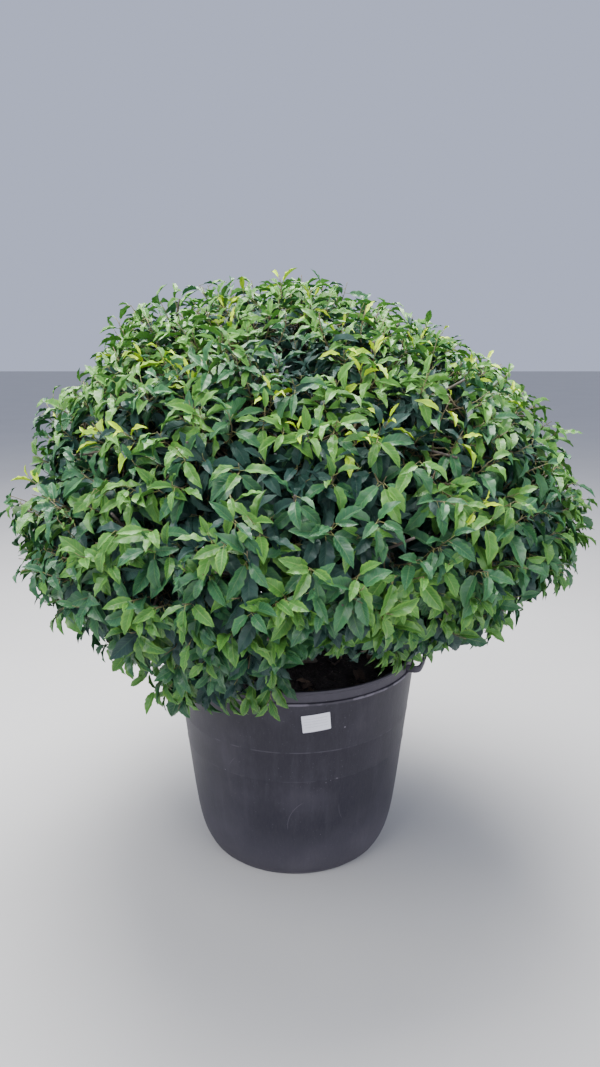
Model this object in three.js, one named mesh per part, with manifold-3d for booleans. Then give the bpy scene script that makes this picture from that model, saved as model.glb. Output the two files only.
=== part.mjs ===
// A laurel clipped to a dome that has grown out a little, in a large round nursery pot.
// Lengths are in millimetres, angles in degrees, and +Z is up.
// The origin is the middle of the pot's flat underside, and the plant's front looks along -Y.

import * as THREE from 'three';
import { mergeVertices } from 'three/addons/utils/BufferGeometryUtils.js';
import Module from 'manifold-3d';

const wasm = await Module();
wasm.setup();

// Driving dimensions of the pot
const LEDGE_RADIUS = 350; // the widest line of the pot, just under its collar
const LEDGE_HEIGHT = 560;
const WALL_SLOPE = 0.1075; // how much the radius shrinks for each millimetre down
const FOOT_TUCK = 26; // how far the wall pulls in at the foot
const FOOT_TUCK_HEIGHT = 43.6;
const FOOT_CHAMFER = 4;
const WALL = 5;
const FLOOR = 6;
const COLLAR_INSET = 4.5;
const COLLAR_BASE = 566;
const RIM_HEIGHT = 597;
const RIM_BEAD = 4; // the rolled edge stands this far out of the collar
const WALL_HEIGHTS = [5, 24, 55, 110, 220];
const POT_SIDES = 30;
const RIM_TUCK = 1; // the inner edge of the rim lies this much lower than the outer one
const CLEARANCE = 0.3; // what touching pieces keep between them

// Driving dimensions of the two handles, moulded ears on the collar
const HANDLE_BEARINGS = { pot_handle_right: -10, pot_handle_left: 170 };
const HANDLE_HALF_ANGLE = 17;
const HANDLE_REACH = 380; // radius of the middle of the bar
const HANDLE_THICKNESS = 11;
const HANDLE_DEPTH = 22;
const HANDLE_MIDDLE = 577;
const HANDLE_ROOT = 337.5; // radius where the bar starts inside the collar, to be cut off there
const HANDLE_PATH = [[0, 1], [0.65, 0.97], [0.93, 0.8], [1, 0.4]]; // shares of the reach and the angle
const HANDLE_CORNER = 0.6; // where the section's corners lie across its depth
const HANDLE_STEPS = 12;

// Driving dimensions of the label
const LABEL_WIDTH = 76;
const LABEL_DEPTH = 51;
const LABEL_THICKNESS = 0.8;
const LABEL_HEIGHT = 508;
const LABEL_BEARING = -80.6;
const LABEL_TILT = 6;

// Driving dimensions of the soil
const SOIL_LEVEL = 545;
const SOIL_FALL = 9; // the soil lies this much lower at the pot's wall than at the stem
const SOIL_CROWN_RADIUS = 105; // inside this the soil is level
const SOIL_SHOULDER_RADIUS = 210;

// Driving dimensions of the trunk and boughs
const TRUNK_RADIUS = 34;
const TRUNK_TIP_RADIUS = 10;
const ROOT_FLARE = 24;
const ROOT_FLARE_HEIGHT = 42;
const ROOT_RIDGES = 5;
const RIDGE_SHARE = 0.35; // of the flare
const TRUNK_STEPS = 10;
const TRUNK_TAPER_POWER = 0.8;
const END_BAND = 4; // rings this close to an end of the trunk are laid flat with it
const TRUNK_BEND = [[10, -6, 0], [4, 6, 0.2], [-9, 9, 0.42], [-3, 2, 0.72], [0, 0, 1]];
const BOUGH_RADIUS = 12;
const BOUGH_TIP_RADIUS = 7.5;
const BOUGH_SIDES = 6;
const BOUGH_STEPS = 4;
const BOUGH_LEAVING = 0.3; // shares of its length that a bough heads outward, rises and straightens
const BOUGH_RISING = 0.16;
const BOUGH_ARRIVING = 0.35;
const LOWER_FORK = 806; // height where the first bough leaves the trunk
const UPPER_FORK = 925;
const FORK_STEP = 36;

// Driving dimensions of the crown: an egg about its centre, with lobes that swell or dent it
const CROWN_CENTRE = new THREE.Vector3(0, 0, 988);
const CROWN_RADIUS = 789;
const CROWN_UP = 666;
const CROWN_DOWN = 386;
const CROWN_POWER = 1.87;
const LOBES = [
  { bearing: 180, rise: 55, spread: 14, gain: 0.1 }, // crest at the left
  { bearing: 180, rise: 14, spread: 9, gain: -0.05 }, // dent at the left
  { bearing: 0, rise: 54, spread: 13, gain: -0.06 }, // dent at the right shoulder
  { bearing: 0, rise: -3, spread: 13, gain: 0.055 }, // swelling at the right
  { bearing: -25, rise: -33, spread: 13, gain: 0.05 }, // low swelling at the right
  { bearing: -170, rise: -33, spread: 15, gain: 0.14 }, // low swelling at the left
  { bearing: -78, rise: -30, spread: 15, gain: -0.17 }, // gap over the front of the rim
  { bearing: -128, rise: -47, spread: 22, gain: 0.34 }, // skirt at the left front
  { bearing: -102, rise: -49, spread: 9, gain: 0.25 }, // sprays over the rim
  { bearing: 125, rise: -45, spread: 24, gain: 0.18 }, // skirt at the back left
  { bearing: 45, rise: -45, spread: 24, gain: 0.18 }, // skirt at the back right
];

// Driving dimensions of the foliage masses: rings of cells round the crown's centre
const RINGS = [
  { name: 'top', count: 1, rise: 90, first: 0 },
  { name: 'upper', count: 6, rise: 38, first: -60 },
  { name: 'lower', count: 8, rise: -9, first: -90 },
];
const CELL_GAP = 1.2; // between the spaces of two masses
const CORE_OUTER = 0.82; // shares of the crown's reach
const CORE_INNER = 0.55;
const STEM_START = 0.46;
const STEM_END = 0.7;
const SHOOT_END = 0.92;
const SHOOT_END_SPREAD = 0.03;
const TWIG_STARTS = [0.56, 0.66];
const TWIG_BEND = 0.79; // where a twig bends, and how far it leans back to its mass's stem there
const TWIG_LEAN = 0.25;
const OUTLINE_SLACK = 1.01;
const EGG_TURN = 7; // keeps the core's facets off the planes between the cells
const EGG_SIDES = 16;
const EGG_RINGS = 10;
const WELL_RADIUS = 190; // the open hollow round the trunk under the crown
const WELL_SIDES = 12;
const WELL_TURN = 17.5;
const LOWEST_RISE = -57;
const STEM_RADIUS = 7;
const TWIG_RADIUS = 5.5;
const TWIG_TIP_RADIUS = 3;
const STEM_SIDES = 4;
const TWIG_SIDES = 3;
const TWIG_STEPS = 2;
const SHOOTS = 106; // shoot tips spread over the whole egg, before those underneath are left out
const LEAVES_PER_SHOOT = 5;
const FIRST_LEAF = 0.77; // shares of a twig's length
const LAST_LEAF = 0.985;
const LEAF_LENGTH = 180;
const LEAF_WIDTH = 88;
const LEAF_THICKNESS = 4;
const LEAF_WIDEST = 0.42; // shares of a leaf's length
const LEAF_RIDGE = 0.24;
const LEAF_NECK = 0.12;
const LEAF_LIFT = 0.45; // how far a leaf leans along its twig, beside one sideways
const LEAF_DROOPS = [0.6, 0.3, 0.9, 0];
const LEAF_SHRINKS = [1, 0.82, 0.66];
const LEAF_SIZES = [0.88, 1.12];
const LEAF_SWING = 20;
const LEAF_TURNS = 18; // swings tried to either side before a leaf is left out
const RIM_GUARD_RADIUS = 396; // leaves inside this radius stay above the pot and its handles
const RIM_GUARD_HEIGHT = 616;
const LEAF_FLOOR = 505;
const GOLDEN_ANGLE = 137.508;
const SEED = 31;
const SEED_STEP = 97;
const SHORTEST_EDGE = 0.01;

const UP = new THREE.Vector3(0, 0, 1);

function radians(degrees) {
  return (degrees * Math.PI) / 180;
}

function directionOf(bearing, rise) {
  const level = Math.cos(radians(rise));
  const x = level * Math.cos(radians(bearing));
  const y = level * Math.sin(radians(bearing));
  return new THREE.Vector3(x, y, Math.sin(radians(rise)));
}

// A small seeded generator, so that the plant grows the same each time
function seededRandom(seed) {
  let state = seed >>> 0;
  return () => {
    state = (state + 0x6d2b79f5) >>> 0;
    let mixed = Math.imul(state ^ (state >>> 15), state | 1);
    mixed ^= mixed + Math.imul(mixed ^ (mixed >>> 7), mixed | 61);
    return ((mixed ^ (mixed >>> 14)) >>> 0) / 4294967296;
  };
}

// Solids: from a three.js geometry to a manifold and back

function toSolid(geometry) {
  const bare = geometry.index ? geometry.clone() : geometry;
  bare.deleteAttribute('normal');
  bare.deleteAttribute('uv');
  const merged = mergeVertices(bare, 1e-4);
  const vertProperties = new Float32Array(merged.attributes.position.array);
  const corners = [];
  const index = merged.index.array;
  for (let i = 0; i < index.length; i += 3) {
    const [a, b, c] = [index[i], index[i + 1], index[i + 2]];
    if (a !== b && b !== c && c !== a) corners.push(a, b, c);
  }
  const triVerts = new Uint32Array(corners);
  return new wasm.Manifold(new wasm.Mesh({ numProp: 3, vertProperties, triVerts }));
}

// Keeps the largest closed shell, so a sealed hollow is filled and a loose scrap is dropped
function outerShell(positions, index) {
  const parent = Array.from({ length: positions.length / 3 }, (_, i) => i);
  const find = (i) => {
    while (parent[i] !== i) {
      parent[i] = parent[parent[i]];
      i = parent[i];
    }
    return i;
  };
  for (let i = 0; i < index.length; i += 3) {
    parent[find(index[i])] = find(index[i + 1]);
    parent[find(index[i + 1])] = find(index[i + 2]);
  }
  const volumes = new Map();
  const corner = (i) => new THREE.Vector3().fromArray(positions, index[i] * 3);
  for (let i = 0; i < index.length; i += 3) {
    const volume = corner(i).dot(corner(i + 1).cross(corner(i + 2))) / 6;
    const shell = find(index[i]);
    volumes.set(shell, (volumes.get(shell) ?? 0) + volume);
  }
  const [largest] = [...volumes].sort((a, b) => b[1] - a[1])[0];
  const kept = [];
  for (let i = 0; i < index.length; i += 3) {
    if (find(index[i]) === largest) kept.push(index[i], index[i + 1], index[i + 2]);
  }
  return kept;
}

function toGeometry(solid) {
  const mesh = solid.getMesh();
  const positions = new Float32Array(mesh.vertProperties);
  const geometry = new THREE.BufferGeometry();
  geometry.setAttribute('position', new THREE.BufferAttribute(positions, 3));
  geometry.setIndex(outerShell(positions, mesh.triVerts));
  return mergeVertices(geometry, 1e-4);
}

// Joins a solid on, unless that would leave an edge too short to keep
function joinCleanly(solid, added) {
  const joined = solid.add(added);
  const mesh = joined.getMesh();
  const corner = (i) => new THREE.Vector3().fromArray(mesh.vertProperties, mesh.triVerts[i] * 3);
  for (let i = 0; i < mesh.triVerts.length; i += 3) {
    const [a, b, c] = [corner(i), corner(i + 1), corner(i + 2)];
    const shortest = Math.min(a.distanceTo(b), b.distanceTo(c), c.distanceTo(a));
    if (shortest < SHORTEST_EDGE) return solid;
  }
  return joined;
}

// A tapering limb: a cylinder's rings laid along a curve, with its two ends closed
function limbGeometry(curve, radiusAt, sides, steps) {
  const geometry = new THREE.CylinderGeometry(1, 1, 1, sides, steps);
  const frames = curve.computeFrenetFrames(steps, false);
  const position = geometry.attributes.position;
  for (let i = 0; i < position.count; i += 1) {
    const step = Math.round((position.getY(i) + 0.5) * steps);
    const share = step / steps;
    const across = position.getX(i);
    const along = position.getZ(i);
    const radius = radiusAt(share, Math.atan2(along, across));
    const point = curve.getPointAt(share);
    point.addScaledVector(frames.binormals[step], across * radius);
    point.addScaledVector(frames.normals[step], along * radius);
    position.setXYZ(i, point.x, point.y, point.z);
  }
  return geometry;
}

function taper(start, end) {
  return (share) => THREE.MathUtils.lerp(start, end, share);
}

// Pot

function wallRadius(height) {
  const cone = LEDGE_RADIUS - WALL_SLOPE * (LEDGE_HEIGHT - height);
  return cone - FOOT_TUCK * Math.exp(-height / FOOT_TUCK_HEIGHT);
}

function outerProfile(offset) {
  const collar = LEDGE_RADIUS - COLLAR_INSET;
  const foot = new THREE.Vector2(wallRadius(0) - FOOT_CHAMFER, 0);
  const wall = WALL_HEIGHTS.map((height) => new THREE.Vector2(wallRadius(height), height));
  const ledge = [
    new THREE.Vector2(LEDGE_RADIUS, LEDGE_HEIGHT),
    new THREE.Vector2(LEDGE_RADIUS, COLLAR_BASE - 2),
    new THREE.Vector2(collar, COLLAR_BASE),
    new THREE.Vector2(collar, RIM_HEIGHT - 2.5 * RIM_BEAD),
    new THREE.Vector2(collar + RIM_BEAD, RIM_HEIGHT - 1.5 * RIM_BEAD),
    new THREE.Vector2(collar + 0.6 * RIM_BEAD, RIM_HEIGHT),
  ];
  return [foot, ...wall, ...ledge].map((point) => new THREE.Vector2(point.x + offset, point.y));
}

function makePot() {
  const inner = LEDGE_RADIUS - COLLAR_INSET - WALL;
  const inside = [
    new THREE.Vector2(inner, RIM_HEIGHT - RIM_TUCK),
    new THREE.Vector2(inner, COLLAR_BASE),
    new THREE.Vector2(wallRadius(LEDGE_HEIGHT - 10) - WALL, LEDGE_HEIGHT - 10),
    ...[...WALL_HEIGHTS].reverse().slice(0, -1).map(
      (height) => new THREE.Vector2(wallRadius(height) - WALL, height),
    ),
    new THREE.Vector2(wallRadius(FLOOR) - WALL, FLOOR),
  ];
  const profile = [new THREE.Vector2(0, 0), ...outerProfile(0), ...inside, new THREE.Vector2(0, FLOOR)];
  return toGeometry(toSolid(latheUpright(profile, POT_SIDES)));
}

function latheUpright(profile, sides) {
  const geometry = new THREE.LatheGeometry(profile, sides);
  geometry.rotateX(Math.PI / 2);
  return geometry;
}

function makeHandle(bearing) {
  const place = (radius, angle) => {
    const spot = directionOf(bearing + angle, 0).multiplyScalar(radius);
    return spot.setZ(HANDLE_MIDDLE);
  };
  const side = (sign) => HANDLE_PATH.map(([out, turn]) => {
    return place(THREE.MathUtils.lerp(HANDLE_ROOT, HANDLE_REACH, out), sign * turn * HANDLE_HALF_ANGLE);
  });
  const path = new THREE.CatmullRomCurve3([...side(-1), ...side(1).reverse()]);
  const [x, y] = [HANDLE_DEPTH / 2, HANDLE_THICKNESS / 2];
  const section = new THREE.Shape([
    new THREE.Vector2(x * HANDLE_CORNER, -y),
    new THREE.Vector2(x, 0),
    new THREE.Vector2(x * HANDLE_CORNER, y),
    new THREE.Vector2(-x * HANDLE_CORNER, y),
    new THREE.Vector2(-x, 0),
    new THREE.Vector2(-x * HANDLE_CORNER, -y),
  ]);
  const sweep = { steps: HANDLE_STEPS, extrudePath: path, bevelEnabled: false };
  const bar = new THREE.ExtrudeGeometry(section, sweep);
  const potBody = latheUpright(
    [new THREE.Vector2(0, 0), ...outerProfile(CLEARANCE), new THREE.Vector2(0, RIM_HEIGHT)],
    POT_SIDES,
  );
  return toGeometry(toSolid(bar).subtract(toSolid(potBody)));
}

function makeLabel() {
  const geometry = new THREE.BoxGeometry(LABEL_WIDTH, LABEL_DEPTH, LABEL_THICKNESS, 6, 1, 1);
  const position = geometry.attributes.position;
  const tilt = radians(LABEL_TILT);
  for (let i = 0; i < position.count; i += 1) {
    const [x, y] = [position.getX(i), position.getY(i)];
    const along = x * Math.cos(tilt) - y * Math.sin(tilt);
    const height = LABEL_HEIGHT + x * Math.sin(tilt) + y * Math.cos(tilt);
    const skin = wallRadius(height) + CLEARANCE + LABEL_THICKNESS / 2 + position.getZ(i);
    const angle = radians(LABEL_BEARING) + along / wallRadius(LABEL_HEIGHT);
    position.setXYZ(i, skin * Math.cos(angle), skin * Math.sin(angle), height);
  }
  return toGeometry(toSolid(geometry));
}

function makeSoil() {
  const bottom = FLOOR + CLEARANCE;
  const gap = WALL + CLEARANCE;
  const edge = SOIL_LEVEL - SOIL_FALL;
  const profile = [
    new THREE.Vector2(0, bottom),
    new THREE.Vector2(wallRadius(bottom) - gap, bottom),
    ...WALL_HEIGHTS.slice(1).map((height) => new THREE.Vector2(wallRadius(height) - gap, height)),
    new THREE.Vector2(wallRadius(edge) - gap, edge),
    new THREE.Vector2(SOIL_SHOULDER_RADIUS, SOIL_LEVEL - SOIL_FALL / 2),
    new THREE.Vector2(SOIL_CROWN_RADIUS, SOIL_LEVEL),
    new THREE.Vector2(0, SOIL_LEVEL),
  ];
  return toGeometry(toSolid(latheUpright(profile, POT_SIDES)));
}

// Crown outline: how far it reaches from its centre along a direction

const lobes = LOBES.map((lobe) => ({ ...lobe, direction: directionOf(lobe.bearing, lobe.rise) }));

function eggReach(direction) {
  const level = Math.hypot(direction.x, direction.y) / CROWN_RADIUS;
  const upright = Math.abs(direction.z) / (direction.z > 0 ? CROWN_UP : CROWN_DOWN);
  return (level ** CROWN_POWER + upright ** CROWN_POWER) ** (-1 / CROWN_POWER);
}

function reach(direction) {
  let swell = 1;
  for (const lobe of lobes) {
    const away = direction.angleTo(lobe.direction) / radians(lobe.spread);
    swell += lobe.gain * Math.exp(-away * away);
  }
  return eggReach(direction) * swell;
}

function crownPoint(direction, share) {
  return direction.clone().multiplyScalar(reach(direction) * share).add(CROWN_CENTRE);
}

// Cells: each mass keeps to the points that lie nearest to its own direction

const cells = RINGS.flatMap((ring) =>
  Array.from({ length: ring.count }, (_, i) => ({
    name: ring.count === 1 ? ring.name : `${ring.name}_${i + 1}`,
    ring: ring.name,
    order: i,
    direction: directionOf(ring.first + (360 * i) / ring.count, ring.rise),
  })),
);
for (const cell of cells) {
  cell.walls = cells
    .filter((other) => other !== cell)
    .map((other) => cell.direction.clone().sub(other.direction).normalize());
}

function insideCell(cell, point, margin) {
  const arm = point.clone().sub(CROWN_CENTRE);
  return cell.walls.every((wall) => arm.dot(wall) > CELL_GAP / 2 + margin);
}

function nearestCell(direction) {
  let best = cells[0];
  for (const cell of cells) {
    if (direction.dot(cell.direction) > direction.dot(best.direction)) best = cell;
  }
  return best;
}

// Trunk and boughs

const trunkTip = crownPoint(UP, STEM_START);
const trunkFoot = SOIL_LEVEL + CLEARANCE;
const trunkCurve = new THREE.CatmullRomCurve3(
  TRUNK_BEND.map(([x, y, share]) => {
    return new THREE.Vector3(x, y, THREE.MathUtils.lerp(trunkFoot, trunkTip.z - CLEARANCE, share));
  }),
);

function trunkRadius(share, angle) {
  const height = share * (trunkTip.z - trunkFoot);
  const flare = Math.exp(-height / ROOT_FLARE_HEIGHT);
  const ridge = 1 + RIDGE_SHARE * Math.cos(ROOT_RIDGES * angle);
  const plain = THREE.MathUtils.lerp(TRUNK_RADIUS, TRUNK_TIP_RADIUS, share ** TRUNK_TAPER_POWER);
  return plain + ROOT_FLARE * flare * ridge;
}

function trunkGeometry(extra) {
  const radiusAt = (share, angle) => trunkRadius(share, angle) + extra;
  const geometry = limbGeometry(trunkCurve, radiusAt, 2 * ROOT_RIDGES, TRUNK_STEPS);
  const position = geometry.attributes.position;
  const tipLevel = trunkTip.z - CLEARANCE;
  for (let i = 0; i < position.count; i += 1) {
    if (position.getZ(i) < trunkFoot + END_BAND) position.setZ(i, trunkFoot);
    if (position.getZ(i) > tipLevel - END_BAND) position.setZ(i, tipLevel);
  }
  return geometry;
}

function trunkPointAt(height) {
  let share = (height - trunkFoot) / (trunkTip.z - trunkFoot);
  for (let i = 0; i < 6; i += 1) {
    const found = trunkCurve.getPointAt(THREE.MathUtils.clamp(share, 0, 1));
    share += (height - found.z) / (trunkTip.z - trunkFoot);
  }
  return trunkCurve.getPointAt(THREE.MathUtils.clamp(share, 0, 1));
}

function boughCurve(cell) {
  const lower = cell.ring === 'lower';
  const stagger = cell.order % (lower ? 2 : 3);
  const fork = (lower ? LOWER_FORK : UPPER_FORK) + FORK_STEP * stagger;
  const start = trunkPointAt(fork);
  const end = crownPoint(cell.direction, STEM_START);
  end.addScaledVector(cell.direction, -CLEARANCE);
  const length = start.distanceTo(end);
  const outward = cell.direction.clone().setZ(0).normalize();
  const first = start.clone().addScaledVector(outward, length * BOUGH_LEAVING);
  first.z += length * BOUGH_RISING;
  const last = end.clone().addScaledVector(cell.direction, -length * BOUGH_ARRIVING);
  return new THREE.CubicBezierCurve3(start, first, last, end);
}

function makeBough(cell) {
  const radiusAt = taper(BOUGH_RADIUS, BOUGH_TIP_RADIUS);
  const bough = limbGeometry(boughCurve(cell), radiusAt, BOUGH_SIDES, BOUGH_STEPS);
  return toGeometry(toSolid(bough).subtract(toSolid(trunkGeometry(CLEARANCE))));
}

// Foliage masses

function eggSolid(radiusAlong) {
  const geometry = new THREE.SphereGeometry(1, EGG_SIDES, EGG_RINGS);
  geometry.rotateX(Math.PI / 2);
  geometry.rotateZ(radians(EGG_TURN));
  const position = geometry.attributes.position;
  for (let i = 0; i < position.count; i += 1) {
    const direction = new THREE.Vector3().fromBufferAttribute(position, i).normalize();
    const point = direction.clone().multiplyScalar(radiusAlong(direction)).add(CROWN_CENTRE);
    position.setXYZ(i, point.x, point.y, point.z);
  }
  return toSolid(geometry);
}

function shellSolid() {
  const well = new THREE.CylinderGeometry(WELL_RADIUS, WELL_RADIUS, CROWN_CENTRE.z, WELL_SIDES);
  well.rotateX(Math.PI / 2);
  well.rotateZ(radians(WELL_TURN));
  well.translate(0, 0, CROWN_CENTRE.z / 2);
  const outside = eggSolid((direction) => CORE_OUTER * reach(direction));
  const hollow = eggSolid((direction) => CORE_INNER * eggReach(direction));
  return outside.subtract(hollow).subtract(toSolid(well));
}

// The half of space on the inner side of one wall of a cell
function halfSpace(wall) {
  const size = 4 * CROWN_RADIUS;
  const box = new THREE.BoxGeometry(size, size, size);
  box.translate(0, 0, size / 2 + CELL_GAP / 2);
  box.applyQuaternion(new THREE.Quaternion().setFromUnitVectors(UP, wall));
  box.translate(CROWN_CENTRE.x, CROWN_CENTRE.y, CROWN_CENTRE.z);
  return toSolid(box);
}

// A flattened octahedron: root, tip, two side corners and a low ridge on each face
function makeLeaf(root, along, facing, length, width) {
  const geometry = new THREE.OctahedronGeometry(1);
  const across = new THREE.Vector3().crossVectors(along, facing).normalize();
  const normal = new THREE.Vector3().crossVectors(across, along).normalize();
  const spot = (share, aside) => {
    return root.clone().addScaledVector(along, share * length).addScaledVector(across, aside * width);
  };
  const position = geometry.attributes.position;
  for (let i = 0; i < position.count; i += 1) {
    const [x, y, z] = [position.getX(i), position.getY(i), position.getZ(i)];
    const rounded = Math.round(y);
    const middle = Math.abs(x) > 0.5 ? LEAF_WIDEST : LEAF_RIDGE;
    const point = spot(rounded === 0 ? middle : (rounded + 1) / 2, x / 2);
    point.addScaledVector(normal, (z * LEAF_THICKNESS) / 2);
    position.setXYZ(i, point.x, point.y, point.z);
  }
  const outline = [spot(LEAF_NECK, 0), spot(LEAF_WIDEST, 0.5), spot(1, 0), spot(LEAF_WIDEST, -0.5)];
  return { geometry, outline };
}

function clearOfPot(point) {
  const radius = Math.hypot(point.x, point.y);
  return radius > RIM_GUARD_RADIUS ? point.z > LEAF_FLOOR : point.z > RIM_GUARD_HEIGHT;
}

// Whether the flat outlines of two leaves pass through each other, apart from where they are rooted
function leavesCross(one, other) {
  const pierces = (edges, blade) => edges.outline.some((start, i) => {
    const arm = edges.outline[(i + 1) % 4].clone().sub(start);
    const ray = new THREE.Ray(start, arm.clone().normalize());
    const [neck, right, tip, left] = blade.outline;
    const hits = [[neck, right, tip], [neck, tip, left]].map((triangle) => {
      return ray.intersectTriangle(...triangle, false, new THREE.Vector3());
    });
    return hits.some((hit) => hit && hit.distanceTo(start) < arm.length());
  });
  return pierces(one, other) || pierces(other, one);
}

function outsideCore(point) {
  const arm = point.clone().sub(CROWN_CENTRE);
  return arm.length() > CORE_OUTER * reach(arm.clone().normalize()) + LEAF_THICKNESS;
}

function insideSpace(cell, geometry) {
  const position = geometry.attributes.position;
  for (let i = 0; i < position.count; i += 1) {
    const point = new THREE.Vector3().fromBufferAttribute(position, i);
    const arm = point.clone().sub(CROWN_CENTRE);
    const within = arm.length() < OUTLINE_SLACK * reach(arm.clone().normalize());
    if (!within || !insideCell(cell, point, 0) || !clearOfPot(point)) return false;
  }
  return true;
}

// Shoot tips at even spacing over the egg, dealt out to the cells
function dealShoots() {
  const dealt = new Map(cells.map((cell) => [cell, []]));
  for (let i = 0; i < SHOOTS; i += 1) {
    const height = 1 - (2 * (i + 0.5)) / SHOOTS;
    const level = Math.sqrt(1 - height * height) * CROWN_RADIUS;
    const bearing = radians(GOLDEN_ANGLE * i);
    const rise = height * (height > 0 ? CROWN_UP : CROWN_DOWN);
    const spot = new THREE.Vector3(level * Math.cos(bearing), level * Math.sin(bearing), rise);
    const direction = spot.normalize();
    if (direction.z < Math.sin(radians(LOWEST_RISE))) continue;
    dealt.get(nearestCell(direction)).push(direction);
  }
  return dealt;
}

// One leaf on a shoot: turns about the twig and lesser droops are tried until one fits
function growLeaf(cell, twig, share, turn, size, grown) {
  const root = twig.getPointAt(share);
  const axis = twig.getTangentAt(share);
  const outward = root.clone().sub(CROWN_CENTRE).normalize();
  const side = new THREE.Vector3().crossVectors(axis, UP);
  if (side.length() < 0.2) side.set(1, 0, 0);
  side.normalize();
  for (const shrink of LEAF_SHRINKS) {
    for (const droop of LEAF_DROOPS) {
      for (let tried = 0; tried < LEAF_TURNS; tried += 1) {
        const extra = LEAF_SWING * Math.ceil(tried / 2) * (tried % 2 ? 1 : -1);
        const sideways = side.clone().applyAxisAngle(axis, radians(turn + extra));
        const along = axis.clone().multiplyScalar(LEAF_LIFT).add(sideways);
        along.z -= droop;
        along.normalize();
        const facing = outward.clone().add(UP).normalize();
        if (Math.abs(facing.dot(along)) > 0.9) facing.add(sideways).normalize();
        const length = LEAF_LENGTH * size * shrink;
        const leaf = makeLeaf(root, along, facing, length, LEAF_WIDTH * size * shrink);
        const fits = insideSpace(cell, leaf.geometry) && leaf.outline.slice(1).every(outsideCore);
        if (fits && !grown.some((other) => leavesCross(leaf, other))) return leaf;
      }
    }
  }
  return null;
}

function makeMass(cell, directions, shell) {
  const random = seededRandom(SEED + SEED_STEP * cells.indexOf(cell));
  let solid = shell;
  for (const wall of cell.walls) solid = solid.intersect(halfSpace(wall));
  const stemStart = crownPoint(cell.direction, STEM_START);
  const stemEnd = crownPoint(cell.direction, STEM_END);
  const stemLine = new THREE.LineCurve3(stemStart, stemEnd);
  const stem = limbGeometry(stemLine, taper(STEM_RADIUS, TWIG_RADIUS), STEM_SIDES, 1);
  solid = solid.add(toSolid(stem));
  const grown = [];
  for (const direction of directions) {
    const root = crownPoint(cell.direction, THREE.MathUtils.lerp(...TWIG_STARTS, random()));
    const tip = crownPoint(direction, SHOOT_END + SHOOT_END_SPREAD * (random() - 0.5));
    const leaning = direction.clone().lerp(cell.direction, TWIG_LEAN).normalize();
    const twig = new THREE.QuadraticBezierCurve3(root, crownPoint(leaning, TWIG_BEND), tip);
    if (!insideCell(cell, tip, TWIG_RADIUS) || !clearOfPot(tip)) continue;
    const limb = limbGeometry(twig, taper(TWIG_RADIUS, TWIG_TIP_RADIUS), TWIG_SIDES, TWIG_STEPS);
    solid = joinCleanly(solid, toSolid(limb));
    const firstTurn = 360 * random();
    for (let i = 0; i < LEAVES_PER_SHOOT; i += 1) {
      const share = THREE.MathUtils.lerp(FIRST_LEAF, LAST_LEAF, i / (LEAVES_PER_SHOOT - 1));
      const size = THREE.MathUtils.lerp(...LEAF_SIZES, random());
      const leaf = growLeaf(cell, twig, share, firstTurn + GOLDEN_ANGLE * i, size, grown);
      if (leaf) grown.push(leaf);
    }
  }
  for (const leaf of grown) solid = joinCleanly(solid, toSolid(leaf.geometry));
  return toGeometry(solid);
}

// Materials, from the plant's own colours

const looks = {
  pot: new THREE.MeshStandardMaterial({ color: 0x3a3944, roughness: 0.72, metalness: 0 }),
  soil: new THREE.MeshStandardMaterial({ color: 0x2a211c, roughness: 0.95, metalness: 0 }),
  label: new THREE.MeshStandardMaterial({ color: 0xd9dbe6, roughness: 0.5, metalness: 0 }),
  bark: new THREE.MeshStandardMaterial({ color: 0x5a4a3e, roughness: 0.85, metalness: 0 }),
  foliage: new THREE.MeshStandardMaterial({ color: 0x3f7a3a, roughness: 0.45, metalness: 0 }),
};

const plant = new THREE.Group();

function addPiece(name, geometry, look) {
  const mesh = new THREE.Mesh(geometry, looks[look].clone());
  mesh.name = name;
  plant.add(mesh);
}

addPiece('pot', makePot(), 'pot');
for (const [name, bearing] of Object.entries(HANDLE_BEARINGS)) addPiece(name, makeHandle(bearing), 'pot');
addPiece('label', makeLabel(), 'label');
addPiece('soil', makeSoil(), 'soil');
addPiece('trunk', toGeometry(toSolid(trunkGeometry(0))), 'bark');
const shell = shellSolid();
const dealt = dealShoots();
for (const cell of cells) {
  if (cell.name !== 'top') addPiece(`bough_${cell.name}`, makeBough(cell), 'bark');
  addPiece(`foliage_${cell.name}`, makeMass(cell, dealt.get(cell), shell), 'foliage');
}

export default plant;
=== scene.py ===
# %% [markdown]
# This lesson dresses a laurel in a nursery pot: a clipped dome of leaves that has grown out a little.
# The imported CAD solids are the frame. They fix every size and place, and each piece made here stands
# for one or more of them. Lengths are in metres, +Z is up, and the plant's front looks along -Y.

# %% The frame
import math

import bmesh
import bpy
import numpy as np
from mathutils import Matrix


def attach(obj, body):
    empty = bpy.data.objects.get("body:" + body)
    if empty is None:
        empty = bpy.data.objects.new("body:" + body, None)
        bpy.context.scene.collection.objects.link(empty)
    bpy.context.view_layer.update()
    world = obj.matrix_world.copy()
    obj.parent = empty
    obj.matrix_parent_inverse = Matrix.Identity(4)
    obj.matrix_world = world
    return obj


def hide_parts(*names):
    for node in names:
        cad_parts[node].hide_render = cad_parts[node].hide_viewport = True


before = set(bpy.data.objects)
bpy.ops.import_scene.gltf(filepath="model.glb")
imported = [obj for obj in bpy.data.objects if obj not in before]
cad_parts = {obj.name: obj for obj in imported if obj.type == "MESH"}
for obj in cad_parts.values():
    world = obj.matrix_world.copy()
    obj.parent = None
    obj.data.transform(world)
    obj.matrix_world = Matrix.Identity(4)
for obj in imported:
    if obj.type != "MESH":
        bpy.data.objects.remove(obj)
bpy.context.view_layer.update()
masses = [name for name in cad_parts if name.startswith("foliage_")]
boughs = [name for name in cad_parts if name.startswith("bough_")]
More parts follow.
